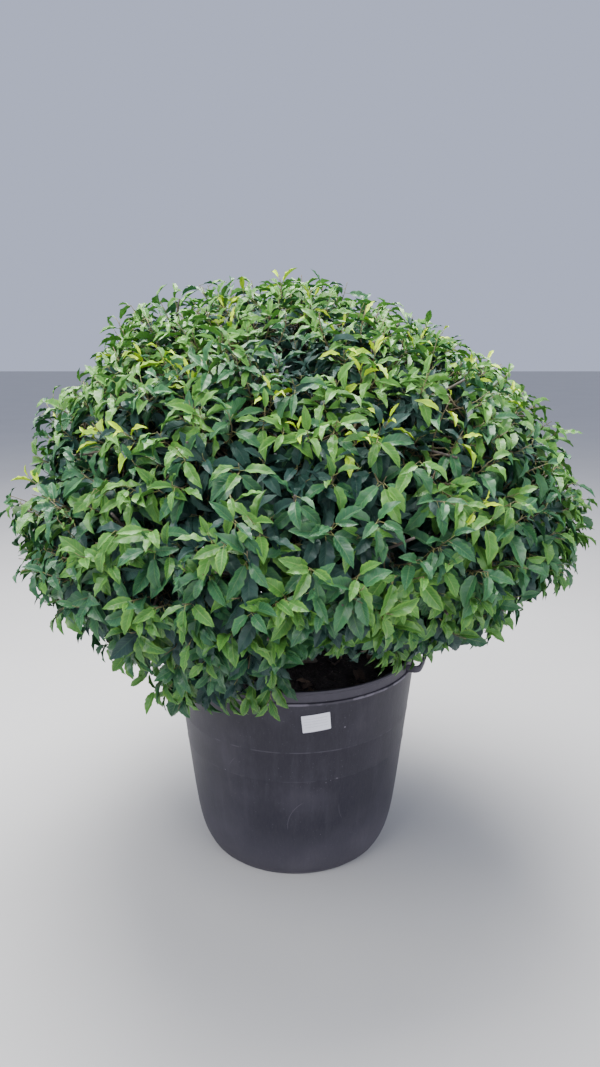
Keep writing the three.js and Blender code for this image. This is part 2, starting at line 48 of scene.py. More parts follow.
print(len(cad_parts), "solids, of which", len(masses), "are foliage and", len(boughs), "boughs")

# %% [markdown]
# The camera comes first, because every later choice is judged through it. A phone held at head
# height took the picture, tilted down a little. Its field of view was worked out from the pot's rim
# and foot, so here it is set by the focal length in pixels of the 600 by 1067 frame.

# %% Camera
PHOTO_HEIGHT = 1067
FOCAL_PIXELS = 801
CAMERA_PLACE = (0.014, -2.229, 1.487)
CAMERA_TILT = 14.09
SENSOR_HEIGHT = 24

bpy.ops.object.camera_add(location=CAMERA_PLACE, rotation=(math.radians(90 - CAMERA_TILT), 0, 0))
camera = bpy.context.object
camera.name = "photo_camera"
camera.data.sensor_fit = "VERTICAL"
camera.data.sensor_height = SENSOR_HEIGHT
camera.data.lens = FOCAL_PIXELS * SENSOR_HEIGHT / PHOTO_HEIGHT
bpy.context.scene.camera = camera
print("lens", round(camera.data.lens, 2), "mm on a sensor", SENSOR_HEIGHT, "mm high")

# %% [markdown]
# A material is a small drawing of nodes. Written out node by node it is long and hard to read, so
# two helpers keep it short. A Wire is a value on its way through the drawing, and Python's own signs
# add the Math nodes. A Finish is the material itself, and its one method adds any other node.

# %% Helpers for materials
class Wire:
    """A socket that sums can be written with."""

    def __init__(self, finish, socket):
        self.finish = finish
        self.socket = socket

    def maths(self, operation, first, second):
        return self.finish.add("ShaderNodeMath", {"operation": operation}, {0: first, 1: second})

    def __add__(self, other):
        return self.maths("ADD", self, other)

    def __sub__(self, other):
        return self.maths("SUBTRACT", self, other)

    def __rsub__(self, other):
        return self.maths("SUBTRACT", other, self)

    def __mul__(self, other):
        return self.maths("MULTIPLY", self, other)

    def __pow__(self, other):
        return self.maths("POWER", self, other)

    def __abs__(self):
        return self.maths("ABSOLUTE", self, 0)

    __radd__ = __add__
    __rmul__ = __mul__


class Finish:
    """A material with one Principled shader, drawn node by node."""

    def __init__(self, name, fixed):
        self.material = bpy.data.materials.new(name)
        self.material.use_nodes = True
        self.tree = self.material.node_tree
        self.shader = self.tree.nodes["Principled BSDF"]
        for socket, value in fixed.items():
            self.shader.inputs[socket].default_value = value

    def add(self, kind, settings, inputs, output=0):
        node = self.tree.nodes.new(kind)
        for name, value in settings.items():
            setattr(node, name, value)
        for key, value in inputs.items():
            self.join(value, node.inputs[key])
        return Wire(self, node.outputs[output])

    def join(self, value, socket):
        if isinstance(value, Wire):
            self.tree.links.new(value.socket, socket)
        else:
            socket.default_value = value

    def give(self, socket, value):
        self.join(value, self.shader.inputs[socket])

    def place(self):
        return self.add("ShaderNodeTexCoord", {}, {}, "Object")

    def stretched(self, scale):
        return self.add("ShaderNodeMapping", {}, {"Vector": self.place(), "Scale": scale})

    def noise(self, scale, detail=3, where=None):
        inputs = {"Vector": where or self.place(), "Scale": scale, "Detail": detail}
        return self.add("ShaderNodeTexNoise", {}, inputs, "Fac")

    def step(self, value, low, high):
        """0 up to low, 1 from high, and smooth between them."""
        settings = {"interpolation_type": "SMOOTHSTEP"}
        inputs = {"Value": value, "From Min": low, "From Max": high}
        return self.add("ShaderNodeMapRange", settings, inputs)

    def fade(self, value, low, high):
        """1 up to low, 0 from high, and smooth between them."""
        return 1 - self.step(value, low, high)

    def band(self, value, start, full, fall, end):
        """0 outside start and end, and 1 between full and fall."""
        return self.step(value, start, full) * self.fade(value, fall, end)

    def mix(self, share, first, second):
        return self.add("ShaderNodeMix", {"data_type": "RGBA"}, {0: share, 6: first, 7: second}, 2)

    def clamp(self, value):
        return self.add("ShaderNodeClamp", {}, {0: value})

    def axes(self, vector):
        return [self.add("ShaderNodeSeparateXYZ", {}, {0: vector}, axis) for axis in range(3)]

    def uv(self, name):
        """Across and along, by the piece's own UV map."""
        return self.axes(self.add("ShaderNodeUVMap", {"uv_map": name}, {}))[:2]

    def bump(self, height, depth):
        inputs = {"Height": height, "Distance": depth, "Strength": 1.0}
        self.give("Normal", self.add("ShaderNodeBump", {}, inputs))


def shade(red, green, blue):
    return (red, green, blue, 1.0)


print("helpers ready: Wire and Finish")

# %% [markdown]
# Studio photographs of plants use large soft lights, since small ones leave hard white glints on
# glossy leaves. A broad key light stands front left above the crown, a weaker one fills the right,
# and the strongest hangs over the dome's top. The floor is one big pale plane, marked as stage.

# %% Floor and lights
LIGHTS = {
    # place, width and power
    "key_light": ((-1.7, -2.3, 4.0), 2.4, 168),
    "fill_light": ((2.2, -2.8, 1.8), 2.4, 48),
    "top_light": ((-0.3, 1.0, 4.5), 3.4, 600),
}
LIGHT_AIM = (0, 0, 0.9)
AIR_TINT = (0.68, 0.75, 1.0)
AIR_STRENGTH = 0.75
FLOOR_SIZE = 60


def clear_choice():
    """Leaves edit mode and deselects everything, because an operator acts on all that is selected."""
    if bpy.context.object and bpy.context.object.mode != "OBJECT":
        bpy.ops.object.mode_set(mode="OBJECT")
    bpy.ops.object.select_all(action="DESELECT")


def soft_light(name, place, size, power):
    clear_choice()
    bpy.ops.object.light_add(type="AREA", location=place)
    light = bpy.context.object
    light.name = name
    light.data.size = size
    light.data.energy = power
    aim = np.array(LIGHT_AIM) - np.array(place)
    level = math.hypot(aim[0], aim[1])
    light.rotation_euler = (math.atan2(level, -aim[2]), 0, math.atan2(-aim[0], aim[1]))


clear_choice()
bpy.ops.mesh.primitive_plane_add(size=FLOOR_SIZE, location=(0, 0, 0))
floor = bpy.context.object
floor.name = "studio_floor"
floor_finish = Finish("pale_floor", {"Roughness": 0.9, "Specular IOR Level": 0.2})
floor_tone = floor_finish.mix(floor_finish.noise(1.5, 4), shade(0.50, 0.49, 0.475), shade(0.56, 0.55, 0.53))
floor_finish.give("Base Color", floor_tone)
floor.data.materials.append(floor_finish.material)

for name, facts in LIGHTS.items():
    soft_light(name, *facts)
world = bpy.data.worlds.new("studio_air")
bpy.context.scene.world = world
world.use_nodes = True
world.node_tree.nodes["Background"].inputs["Color"].default_value = shade(*AIR_TINT)
world.node_tree.nodes["Background"].inputs["Strength"].default_value = AIR_STRENGTH
print("floor and", len(LIGHTS), "soft lights")

# %% [markdown]
# The pot is a large moulded nursery container. Its wall leans out all the way up and tucks in at the
# foot. One formula gives its radius at any height, the same as in the CAD source, so that the skin
# made here lies where the solid does, and the label and the compost can ask it where the wall is.

# %% Line of the wall
LEDGE_RADIUS = 0.350
LEDGE_HEIGHT = 0.560
WALL_SLOPE = 0.1075
FOOT_TUCK = 0.026
FOOT_TUCK_HEIGHT = 0.0436


def wall_radius(height):
    cone = LEDGE_RADIUS - WALL_SLOPE * (LEDGE_HEIGHT - height)
    return cone - FOOT_TUCK * math.exp(-height / FOOT_TUCK_HEIGHT)


print("wall radius", round(wall_radius(0.3), 4), "at 0.3 m")

# %% [markdown]
# Pot and compost are round. They could be spun from a profile, but a filled circle pushed up ring by
# ring keeps one closed skin, and is what a beginner does first. Edges and faces are then picked by
# their place, since a script has no mouse to click on them.

# %% Helpers for round pieces
def push_rings(rings, sides):
    """A filled circle at the first ring, pushed through the others, left in edit mode."""
    clear_choice()
    radius, height = rings[0]
    circle = {"vertices": sides, "radius": radius, "fill_type": "TRIFAN"}
    bpy.ops.mesh.primitive_circle_add(location=(0, 0, height), **circle)
    bpy.ops.object.mode_set(mode="EDIT")
    bpy.ops.mesh.select_all(action="SELECT")
    for wide, level in rings[1:]:
        bpy.ops.mesh.extrude_region_move(TRANSFORM_OT_translate={"value": (0, 0, level - height)})
        grow = wide / radius
        bpy.ops.transform.resize(value=(grow, grow, 1), center_override=(0, 0, level))
        radius, height = wide, level


def pick(kind, wanted):
    """In edit mode, selects the edges or faces whose corners pass the test, and counts them."""
    bpy.ops.mesh.select_all(action="DESELECT")
    bpy.ops.mesh.select_mode(type=kind)
    mesh = bmesh.from_edit_mesh(bpy.context.object.data)
    chosen = 0
    for item in mesh.edges if kind == "EDGE" else mesh.faces:
        if wanted([corner.co for corner in item.verts]):
            item.select_set(True)
            chosen += 1
    bmesh.update_edit_mesh(bpy.context.object.data)
    return chosen


def finish_edit(name):
    """Leaves edit mode with normals outside, and gives the piece its name."""
    bpy.ops.mesh.select_all(action="SELECT")
    bpy.ops.mesh.normals_make_consistent(inside=False)
    bpy.ops.object.mode_set(mode="OBJECT")
    piece = bpy.context.object
    piece.name = name
    bpy.ops.object.transform_apply(location=True, rotation=True, scale=True)
    return piece


print("helpers ready: rings pushed up, corners picked by place")

# %% [markdown]
# Above its wall the pot has a ledge, a straight collar and a rolled rim. Foot, ledge and rim are where
# light catches moulded plastic, so their sharp edges are rounded with the bevel operator after the
# rings are up. Two faint raised lines go round the wall, left by the mould.

# %% Pot
POT_SIDES = 128
WALL = 0.005
POT_FLOOR = 0.006
FOOT_ROUND = 0.003
COLLAR_RADIUS = 0.3455
COLLAR_BASE = 0.566
RIM_HEIGHT = 0.597
RIM_BEAD = 0.004
UNDERSIDE_RADII = (0.14, 0.2, 0.245)
WALL_LEVELS = (0.012, 0.024, 0.04, 0.06, 0.085, 0.12, 0.17, 0.22, 0.28, 0.37, 0.46, 0.52, 0.548)
INNER_LEVELS = (0.55, 0.4, 0.22, 0.11, 0.055, 0.024, POT_FLOOR)
INNER_FLOOR_RADIUS = 0.15
MOULD_LINES = (0.418, 0.327)
MOULD_RISE = 0.0009
MOULD_HALF = 0.004

# A ring is a radius and a height.
foot_ring = (wall_radius(0) - FOOT_ROUND, 0)
ledge_ring = (LEDGE_RADIUS, COLLAR_BASE - 0.002)
bead_ring = (COLLAR_RADIUS + RIM_BEAD, RIM_HEIGHT - 1.5 * RIM_BEAD)
rim_ring = (COLLAR_RADIUS + 0.6 * RIM_BEAD, RIM_HEIGHT)
BEVELS = {foot_ring: 0.0012, ledge_ring: 0.0009, bead_ring: 0.0012, rim_ring: 0.0012}
SAME_PLACE = 3e-4


def outer_rings():
    rings = [(radius, 0) for radius in UNDERSIDE_RADII]
    rings += [foot_ring, (wall_radius(FOOT_ROUND), FOOT_ROUND)]
    mould_levels = [line + aside for line in MOULD_LINES for aside in (-MOULD_HALF, 0, MOULD_HALF)]
    for level in sorted([*WALL_LEVELS, *mould_levels]):
        rings.append((wall_radius(level) + MOULD_RISE * (level in MOULD_LINES), level))
    rings += [(LEDGE_RADIUS - 0.0004, 0.5555), (LEDGE_RADIUS, LEDGE_HEIGHT), ledge_ring]
    rings += [(COLLAR_RADIUS, COLLAR_BASE), (COLLAR_RADIUS, RIM_HEIGHT - 2.5 * RIM_BEAD)]
    return rings + [bead_ring, rim_ring]


def inner_rings():
    inner = COLLAR_RADIUS - WALL
    rings = [(inner, RIM_HEIGHT - 0.001), (inner, COLLAR_BASE)]
    rings += [(wall_radius(level) - WALL, level) for level in INNER_LEVELS]
    return rings + [(INNER_FLOOR_RADIUS, POT_FLOOR)]


def ring_at(radius, height):
    """A test for edges that lie along one ring."""
    def lies_there(corners):
        return all(
            abs(math.hypot(c.x, c.y) - radius) < SAME_PLACE and abs(c.z - height) < SAME_PLACE
            for c in corners
        )
    return lies_there


push_rings(outer_rings() + inner_rings(), POT_SIDES)
for ring, width in BEVELS.items():
    if pick("EDGE", ring_at(*ring)):
        bpy.ops.mesh.bevel(offset=width, segments=3, profile=0.6)
print("pot skin with", len(bmesh.from_edit_mesh(bpy.context.object.data).faces), "faces")

# %% [markdown]
# A nursery pot has to drain. Eight blind holes are inset into the underside and pushed up a little
# way, so that they show as holes from below while the solid's floor stays whole.

# %% Drain holes
DRAINS = 8
DRAIN_RING = (0.19, 0.26)
DRAIN_HALF_ANGLE = 3
DRAIN_INSET = 0.004
DRAIN_DEPTH = 0.0035


def drain_place(corners):
    """Two neighbouring faces of the underside at each of eight bearings."""
    if max(abs(c.z) for c in corners) > 1e-4:
        return False
    radii = [math.hypot(c.x, c.y) for c in corners]
    if min(radii) < DRAIN_RING[0] or max(radii) > DRAIN_RING[1]:
        return False
    middle = sum((c for c in corners), corners[0] * 0) / len(corners)
    apart = 360 / DRAINS
    return abs(math.degrees(math.atan2(middle.y, middle.x)) % apart - apart / 2) < DRAIN_HALF_ANGLE


holes = pick("FACE", drain_place)
bpy.ops.mesh.inset(thickness=DRAIN_INSET)
bpy.ops.mesh.extrude_region_move(TRANSFORM_OT_translate={"value": (0, 0, DRAIN_DEPTH)})
pot = finish_edit("pot_body")
bpy.ops.object.shade_smooth_by_angle(angle=math.radians(35))
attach(pot, "root")
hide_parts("pot")
print("pot with", len(pot.data.polygons), "faces and", holes, "faces opened as drain holes")

# %% [markdown]
# Two ears for carrying stand out of the collar, one on each side. Each is a flat bar that follows the
# rim at a finger's distance. A small oval is spun round the pot's own axis for the bar, then round
# the ear's corner, and pushed straight into the collar. A Mirror modifier makes the other half.

# %% Handles
HANDLES = {"handle_right": (-10, "pot_handle_right"), "handle_left": (170, "pot_handle_left")}
HANDLE_REACH = 0.3795
HANDLE_MIDDLE = 0.577
HANDLE_THICK = 0.0105
HANDLE_DEEP = 0.0215
BAR_HALF_ANGLE = 12.6
CORNER_RADIUS = 0.019
CORNER_ANGLE = 70
COLLAR_SINK = 0.0015
OVAL_SIDES = 16
BAR_STEPS = 8
CORNER_STEPS = 7


def upright_oval(place, thick, deep):
    """A filled oval that faces along Y, left in edit mode with its place in its mesh."""
    clear_choice()
    circle = {"vertices": OVAL_SIDES, "radius": 0.5, "fill_type": "NGON"}
    bpy.ops.mesh.primitive_circle_add(location=place, rotation=(math.radians(90), 0, 0), **circle)
    bpy.context.object.scale = (thick, deep, 1)
    bpy.ops.object.transform_apply(location=True, rotation=True, scale=True)
    bpy.ops.object.mode_set(mode="EDIT")
    bpy.ops.mesh.select_all(action="SELECT")


def picked_middle():
    mesh = bmesh.from_edit_mesh(bpy.context.object.data)
    corners = [np.array(corner.co) for corner in mesh.verts if corner.select]
    return np.mean(corners, axis=0)


def make_handle(name, bearing, node):
    upright_oval((HANDLE_REACH, 0, HANDLE_MIDDLE), HANDLE_THICK, HANDLE_DEEP)
    upward = {"axis": (0, 0, 1)}
    bar = math.radians(BAR_HALF_ANGLE)
    bpy.ops.mesh.spin(steps=BAR_STEPS, angle=bar, center=(0, 0, HANDLE_MIDDLE), **upward)
    end = picked_middle()
    inward = -end / math.hypot(end[0], end[1]) * np.array((1, 1, 0))
    hinge = end + inward * CORNER_RADIUS
    hinge[2] = HANDLE_MIDDLE
    bpy.ops.mesh.spin(steps=CORNER_STEPS, angle=math.radians(CORNER_ANGLE), center=hinge, **upward)
    end = picked_middle()
    inward = -end[:2] / math.hypot(end[0], end[1])
    gap = math.hypot(end[0], end[1]) - COLLAR_RADIUS + COLLAR_SINK
    bpy.ops.mesh.extrude_region_move(TRANSFORM_OT_translate={"value": (*(inward * gap), 0)})
    pick("FACE", lambda corners: max(abs(c.y) for c in corners) < 1e-5)
    bpy.ops.mesh.delete(type="FACE")
    bpy.ops.object.mode_set(mode="OBJECT")
    piece = bpy.context.object
    bpy.ops.object.modifier_add(type="MIRROR")
    piece.modifiers[0].use_axis = (False, True, False)
    bpy.ops.object.modifier_apply(modifier=piece.modifiers[0].name)
    piece.rotation_euler.z = math.radians(bearing)
    bpy.ops.object.mode_set(mode="EDIT")
    piece = finish_edit(name)
    bpy.ops.object.shade_smooth_by_angle(angle=math.radians(50))
    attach(piece, "root")
    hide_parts(node)
    return piece


handles = [make_handle(name, *facts) for name, facts in HANDLES.items()]
print("handles with", [len(piece.data.polygons) for piece in handles], "faces")

# %% [markdown]
# A paper label is stuck to the wall under the rim, tilted a little. The real one is printed, and this
# one is left blank. A flat card with rounded corners is turned to its tilt, laid against the wall by
# a Shrinkwrap modifier, which bends it as glue would, and given its thickness by Solidify.

# %% Label
LABEL_SIZE = (0.076, 0.051)
LABEL_HEIGHT = 0.508
LABEL_BEARING = -80.6
LABEL_TILT = 6
LABEL_THICK = 0.0005
LABEL_LIFT = 0.0004
LABEL_CORNER = 0.0018


def add_applied(kind, settings):
    """Adds a modifier to the active piece and applies it at once."""
    bpy.ops.object.modifier_add(type=kind)
    modifier = bpy.context.object.modifiers[-1]
    for name, value in settings.items():
        setattr(modifier, name, value)
    bpy.ops.object.modifier_apply(modifier=modifier.name)


label_side = math.radians(LABEL_BEARING)
label_reach = wall_radius(LABEL_HEIGHT) + 0.001
label_place = (label_reach * math.cos(label_side), label_reach * math.sin(label_side), LABEL_HEIGHT)
clear_choice()
bpy.ops.mesh.primitive_grid_add(x_subdivisions=22, y_subdivisions=14, size=1, location=label_place)
label = bpy.context.object
label.scale = (*LABEL_SIZE, 1)
label.rotation_euler = (math.radians(90), math.radians(-LABEL_TILT), math.radians(90) + label_side)
bpy.ops.object.transform_apply(location=True, rotation=True, scale=True)
bpy.ops.object.mode_set(mode="EDIT")
bpy.ops.mesh.select_mode(type="VERT")
bpy.ops.mesh.select_all(action="DESELECT")
card = bmesh.from_edit_mesh(label.data)
for corner in card.verts:
    corner.select_set(len(corner.link_edges) == 2)
bmesh.update_edit_mesh(label.data)
bpy.ops.mesh.bevel(offset=LABEL_CORNER, segments=4, affect="VERTICES")
bpy.ops.object.mode_set(mode="OBJECT")
add_applied("SHRINKWRAP", {"target": pot, "wrap_mode": "ABOVE_SURFACE", "offset": LABEL_LIFT})
add_applied("SOLIDIFY", {"thickness": LABEL_THICK, "offset": 1})
bpy.ops.object.mode_set(mode="EDIT")
label = finish_edit("blank_label")
bpy.ops.object.shade_smooth_by_angle(angle=math.radians(35))
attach(label, "root")
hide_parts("label")

# %% [markdown]
# The compost fills the pot from its floor to just under the rim. Only its top shows, in deep shade
# under the dome, so the filling below is plain rings. Its top faces are cut finer and nudged at
# random, with a fixed seed, which gives the low lumps of watered compost. Blender numbers new corners
# differently each time, so they are first sorted by how far they lie from a point off to one side.

# %% Compost
SOIL_GAP = WALL + 0.0003
SOIL_BASE = POT_FLOOR + 0.0003
SOIL_EDGE = 0.536
SOIL_LEVEL = 0.545
SOIL_SIDES = (SOIL_BASE, 0.024, 0.055, 0.11, 0.22, 0.4, 0.52, SOIL_EDGE)
SOIL_TOP = [(0.32, 0.5367), (0.29, 0.538), (0.25, 0.5395), (0.21, 0.5405), (0.17, 0.5425), (0.13, 0.544)]
SOIL_MIDDLE_RADII = (0.1, 0.07, 0.03)
SOIL_LUMPS = 0.0035
SOIL_STILL_EDGE = 0.004
SORTING_POINT = (0.91, 0.37, 0.83)


def on_soil_top(corners):
    return min(c.z for c in corners) > SOIL_EDGE - 1e-4


def clear_of_wall(corners):
    most = wall_radius(SOIL_EDGE) - SOIL_GAP - SOIL_STILL_EDGE
    return on_soil_top(corners) and max(math.hypot(c.x, c.y) for c in corners) < most


soil_rings = [(INNER_FLOOR_RADIUS, SOIL_BASE)]
soil_rings += [(wall_radius(level) - SOIL_GAP, level) for level in SOIL_SIDES]
soil_rings += SOIL_TOP + [(radius, SOIL_LEVEL) for radius in SOIL_MIDDLE_RADII]
push_rings(soil_rings, POT_SIDES)
pick("FACE", on_soil_top)
bpy.ops.mesh.subdivide(number_cuts=1)
bpy.context.scene.cursor.location = SORTING_POINT
bpy.ops.mesh.select_all(action="SELECT")
bpy.ops.mesh.sort_elements(type="CURSOR_DISTANCE", elements={"VERT"})
pick("FACE", clear_of_wall)
bpy.ops.transform.vertex_random(offset=SOIL_LUMPS, uniform=0.4, normal=0.6, seed=4)
soil = finish_edit("compost")
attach(soil, "root")
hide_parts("soil")
print("compost with", len(soil.data.polygons), "faces")

# %% [markdown]
# Everything that grows here is many copies of a few small shapes, thousands of leaves and twigs.
# Objects for each would choke Blender, so their corners are worked out as arrays and written as
# joined meshes. Two helpers do that: one makes a piece of arrays, and one joins several arrays.

# %% Pieces from arrays
def as_piece(name, points, triangles, slot, nodes, smooth=True):
    mesh = bpy.data.meshes.new(name)
    mesh.vertices.add(len(points))
    mesh.vertices.foreach_set("co", points.astype(np.float32).ravel())
    mesh.loops.add(triangles.size)
    mesh.loops.foreach_set("vertex_index", triangles.astype(np.int32).ravel())
    mesh.polygons.add(len(triangles))
    mesh.polygons.foreach_set("loop_start", np.arange(0, triangles.size, 3, dtype=np.int32))
    mesh.polygons.foreach_set("use_smooth", np.full(len(triangles), smooth))
    mesh.update(calc_edges=True)
    piece = bpy.data.objects.new(name, mesh)
    bpy.context.scene.collection.objects.link(piece)
    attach(piece, "root")
    if nodes:
        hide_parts(*nodes)
    return piece


def joined(parts):
    """Several (points, triangles) as one."""
    shift, points, triangles = 0, [], []
    for places, corners in parts:
        points.append(places)
        triangles.append(corners + shift)
        shift += len(places)
    return np.concatenate(points), np.concatenate(triangles)


print("helpers ready: arrays to pieces")

# %% [markdown]
# A twig is a bent line with a tube round it. The lines are Bezier curves through three or four
# points, worked out for all twigs at once, and each tube is a row of rings set square to its line.

# %% Bent lines and tubes
UP = np.array((0.0, 0.0, 1.0))


def unit(vectors):
    return vectors / np.linalg.norm(vectors, axis=-1, keepdims=True)


def bent_lines(controls, shares):
    """Points at the shares along Bezier curves. controls is (lines, 3 or 4 points, 3)."""
    level = [controls[:, None, i] for i in range(controls.shape[1])]
    along = np.atleast_1d(shares)[..., None]
    while len(level) > 1:
        level = [first + (second - first) * along for first, second in zip(level, level[1:])]
    return level[0]


def tube_triangles(rings, sides):
    """The sides and both ends of one tube."""
    one = []
    for ring in range(rings - 1):
        for side in range(sides):
            a, b = ring * sides + side, ring * sides + (side + 1) % sides
            one += [(a, b, b + sides), (a, b + sides, a + sides)]
    last = (rings - 1) * sides
    for side in range(1, sides - 1):
        one += [(0, side + 1, side), (last, last + side, last + side + 1)]
    return np.array(one)


def wrap_tubes(lines, radii, sides):
    """Closed tubes round many lines at once: lines (tubes, rings, 3), radii (tubes, rings, 1 or sides)."""
    tubes, rings, _ = lines.shape
    ways = unit(np.gradient(lines, axis=1))
    chord = unit(lines[:, -1] - lines[:, 0])
    helper = np.where(np.abs(chord[:, 2:]) > 0.9, (1.0, 0.0, 0.0), UP)
    helper = unit(np.cross(chord, helper))
    right = unit(np.cross(ways, helper[:, None]))
    front = np.cross(ways, right)
    turn = 2 * math.pi * np.arange(sides) / sides
    spokes = right[:, :, None] * np.cos(turn)[:, None] + front[:, :, None] * np.sin(turn)[:, None]
    points = lines[:, :, None] + spokes * radii[..., None]
    triangles = tube_triangles(rings, sides) + np.arange(tubes)[:, None, None] * rings * sides
    return points.reshape(-1, 3), triangles.reshape(-1, 3)


def tapered(controls, radii, rings, sides):
    """Tubes round Bezier curves, from the first radius to the second."""
    shares = np.linspace(0, 1, rings)
    widths = (radii[0] + (radii[1] - radii[0]) * shares)[None, :, None]
    lines = bent_lines(controls, shares)
    return wrap_tubes(lines, np.broadcast_to(widths, (len(controls), rings, 1)), sides)


print("helpers ready: bent lines and tubes")

# %% [markdown]
# The crown is an egg about a centre, with lobes that swell or dent it, just as in the CAD source.
# reach() says how far the crown goes along a direction, and every twig and leaf is held to it.
# The foliage is dealt into cells, one for each mass: each point belongs to its nearest direction.

# %% Crown
CROWN_CENTRE = np.array((0, 0, 0.988))
CROWN_RADIUS = 0.789
CROWN_UP = 0.666
CROWN_DOWN = 0.386
CROWN_POWER = 1.87
LOBES = [
    # bearing, rise and spread in degrees, and the share gained or lost
    (180, 55, 14, 0.1),  # crest at the left
    (180, 14, 9, -0.05),  # dent at the left
    (0, 54, 13, -0.06),  # dent at the right shoulder
    (0, -3, 13, 0.055),  # swelling at the right
    (-25, -33, 13, 0.05),  # low swelling at the right
    (-170, -33, 15, 0.14),  # low swelling at the left
    (-78, -30, 15, -0.17),  # gap over the front of the rim
    (-128, -47, 22, 0.34),  # skirt at the left front
    (-102, -49, 9, 0.25),  # sprays over the rim
    (125, -45, 24, 0.18),  # skirt at the back left
    (45, -45, 24, 0.18),  # skirt at the back right
]
RINGS = [
    # name, number of cells, rise and the first cell's bearing
    ("top", 1, 90, 0),
    ("upper", 6, 38, -60),
    ("lower", 8, -9, -90),
]
GOLDEN_ANGLE = 137.508
LOWEST_RISE = -57


def direction_of(bearing, rise):
    bearing, rise = np.radians(bearing), np.radians(rise)
    level = np.cos(rise)
    return np.stack([level * np.cos(bearing), level * np.sin(bearing), np.sin(rise)], axis=-1)


def reach(ways):
    level = np.hypot(ways[..., 0], ways[..., 1]) / CROWN_RADIUS
    upright = np.abs(ways[..., 2]) / np.where(ways[..., 2] > 0, CROWN_UP, CROWN_DOWN)
    egg = (level**CROWN_POWER + upright**CROWN_POWER) ** (-1 / CROWN_POWER)
    swell = 1.0
    for bearing, rise, spread, gain in LOBES:
        away = np.arccos(np.clip(ways @ direction_of(bearing, rise), -1, 1)) / math.radians(spread)
        swell = swell + gain * np.exp(-away * away)
    return egg * swell


def crown_point(ways, share):
    """The point at a share of the crown's reach, 1 being its surface."""
    return CROWN_CENTRE + ways * (reach(ways) * share)[..., None]


def golden_ways(count):
    """Directions spread evenly over the egg, by the golden angle."""
    order = np.arange(count)
    height = 1 - 2 * (order + 0.5) / count
    level = np.sqrt(1 - height**2) * CROWN_RADIUS
    bearing = np.radians(GOLDEN_ANGLE * order)
    rise = height * np.where(height > 0, CROWN_UP, CROWN_DOWN)
    ways = unit(np.stack([level * np.cos(bearing), level * np.sin(bearing), rise], axis=-1))
    return ways[ways[:, 2] >= math.sin(math.radians(LOWEST_RISE))]


cells = []
for ring, count, rise, first in RINGS:
    for order in range(count):
        cell_name = ring if count == 1 else f"{ring}_{order + 1}"
        cells.append((cell_name, ring, order, direction_of(first + 360 * order / count, rise)))
cell_ways = np.array([way for *_, way in cells])
print(len(cells), "cells, and the crown reaches", crown_point(direction_of(90, 90), 1.0).round(3))

# %% [markdown]
# The trunk is short and hidden, with a flare where it meets the compost, and follows the source's own
# line. Laurel bark is smooth and grey with shallow upright ridges and rows of small pores, so the
# tube gets that relief in its radius: a bump in the finish alone would vanish at its outline.

# %% Trunk
TRUNK_FOOT = 0.5453
STEM_START = 0.46
CLEARANCE = 0.0003
TRUNK_BEND = [(10, -6, 0), (4, 6, 0.2), (-9, 9, 0.42), (-3, 2, 0.72), (0, 0, 1)]
TRUNK_RADIUS = 0.034
TRUNK_TIP_RADIUS = 0.010
TRUNK_TAPER = 0.8
TRUNK_RELIEF = 0.035
ROOT_FLARE = 0.024
ROOT_FLARE_HEIGHT = 0.042
ROOT_RIDGES = 5
ROOT_RIDGE_DEPTH = 0.35
TRUNK_RINGS = 150
TRUNK_SIDES = 60


def bark_relief(along, around, depth):
    """Ridges that wander up a limb, as a share of its radius."""
    wander = 0.5 * np.sin(23 * along) + 0.3 * np.sin(61 * along + 1.3)
    ridges = np.sin(9 * around + 3 * wander) * np.sin(5 * around - 2 * wander + 0.7)
    pores = np.sin(190 * along + 4 * np.sin(3 * around)) * np.sin(7 * around + 40 * along)
    return 1 + depth * (0.7 * ridges + 0.3 * pores)


def smooth_line(knots, count):
    """A Catmull-Rom line through the knots."""
    knots = np.array(knots)
    padded = np.concatenate([2 * knots[:1] - knots[1:2], knots, 2 * knots[-1:] - knots[-2:-1]])
    steps = np.linspace(0, len(knots) - 1, count)
    spans = np.minimum(steps.astype(int), len(knots) - 2)
    t = (steps - spans)[:, None]
    a, b, c, d = (padded[spans + i] for i in range(4))
    return 0.5 * (2 * b + (c - a) * t + (2 * a - 5 * b + 4 * c - d) * t**2 + (3 * b - a - 3 * c + d) * t**3)


trunk_top = crown_point(UP, STEM_START)[2] - CLEARANCE
trunk_rise = trunk_top - TRUNK_FOOT
knots = [(x / 1000, y / 1000, TRUNK_FOOT + trunk_rise * share) for x, y, share in TRUNK_BEND]
trunk_line = smooth_line(knots, TRUNK_RINGS)
height = trunk_line[:, 2:]
share = (height - TRUNK_FOOT) / trunk_rise
around = 2 * math.pi * np.arange(TRUNK_SIDES)[None] / TRUNK_SIDES
plain = TRUNK_RADIUS + (TRUNK_TIP_RADIUS - TRUNK_RADIUS) * share**TRUNK_TAPER
flare = ROOT_FLARE * np.exp(-(height - TRUNK_FOOT) / ROOT_FLARE_HEIGHT)
trunk_radii = plain * bark_relief(height, around, TRUNK_RELIEF)
trunk_radii = trunk_radii + flare * (1 + ROOT_RIDGE_DEPTH * np.cos(ROOT_RIDGES * around))
trunk_points, trunk_faces = wrap_tubes(trunk_line[None], trunk_radii[None], TRUNK_SIDES)
trunk_points[:, 2] = np.clip(trunk_points[:, 2], TRUNK_FOOT, trunk_top)
trunk = as_piece("trunk_bark", trunk_points, trunk_faces, "bark", ["trunk"])
print("trunk from", TRUNK_FOOT, "to", round(float(trunk_top), 3))

# %% [markdown]
# Each bough leaves the trunk low and bends out to its own mass, along the source's own curve. The
# lower ring of masses forks off below the upper one, and neighbours start a step apart, as a laurel's
# limbs do. Each bough stands for the solid of the same name.

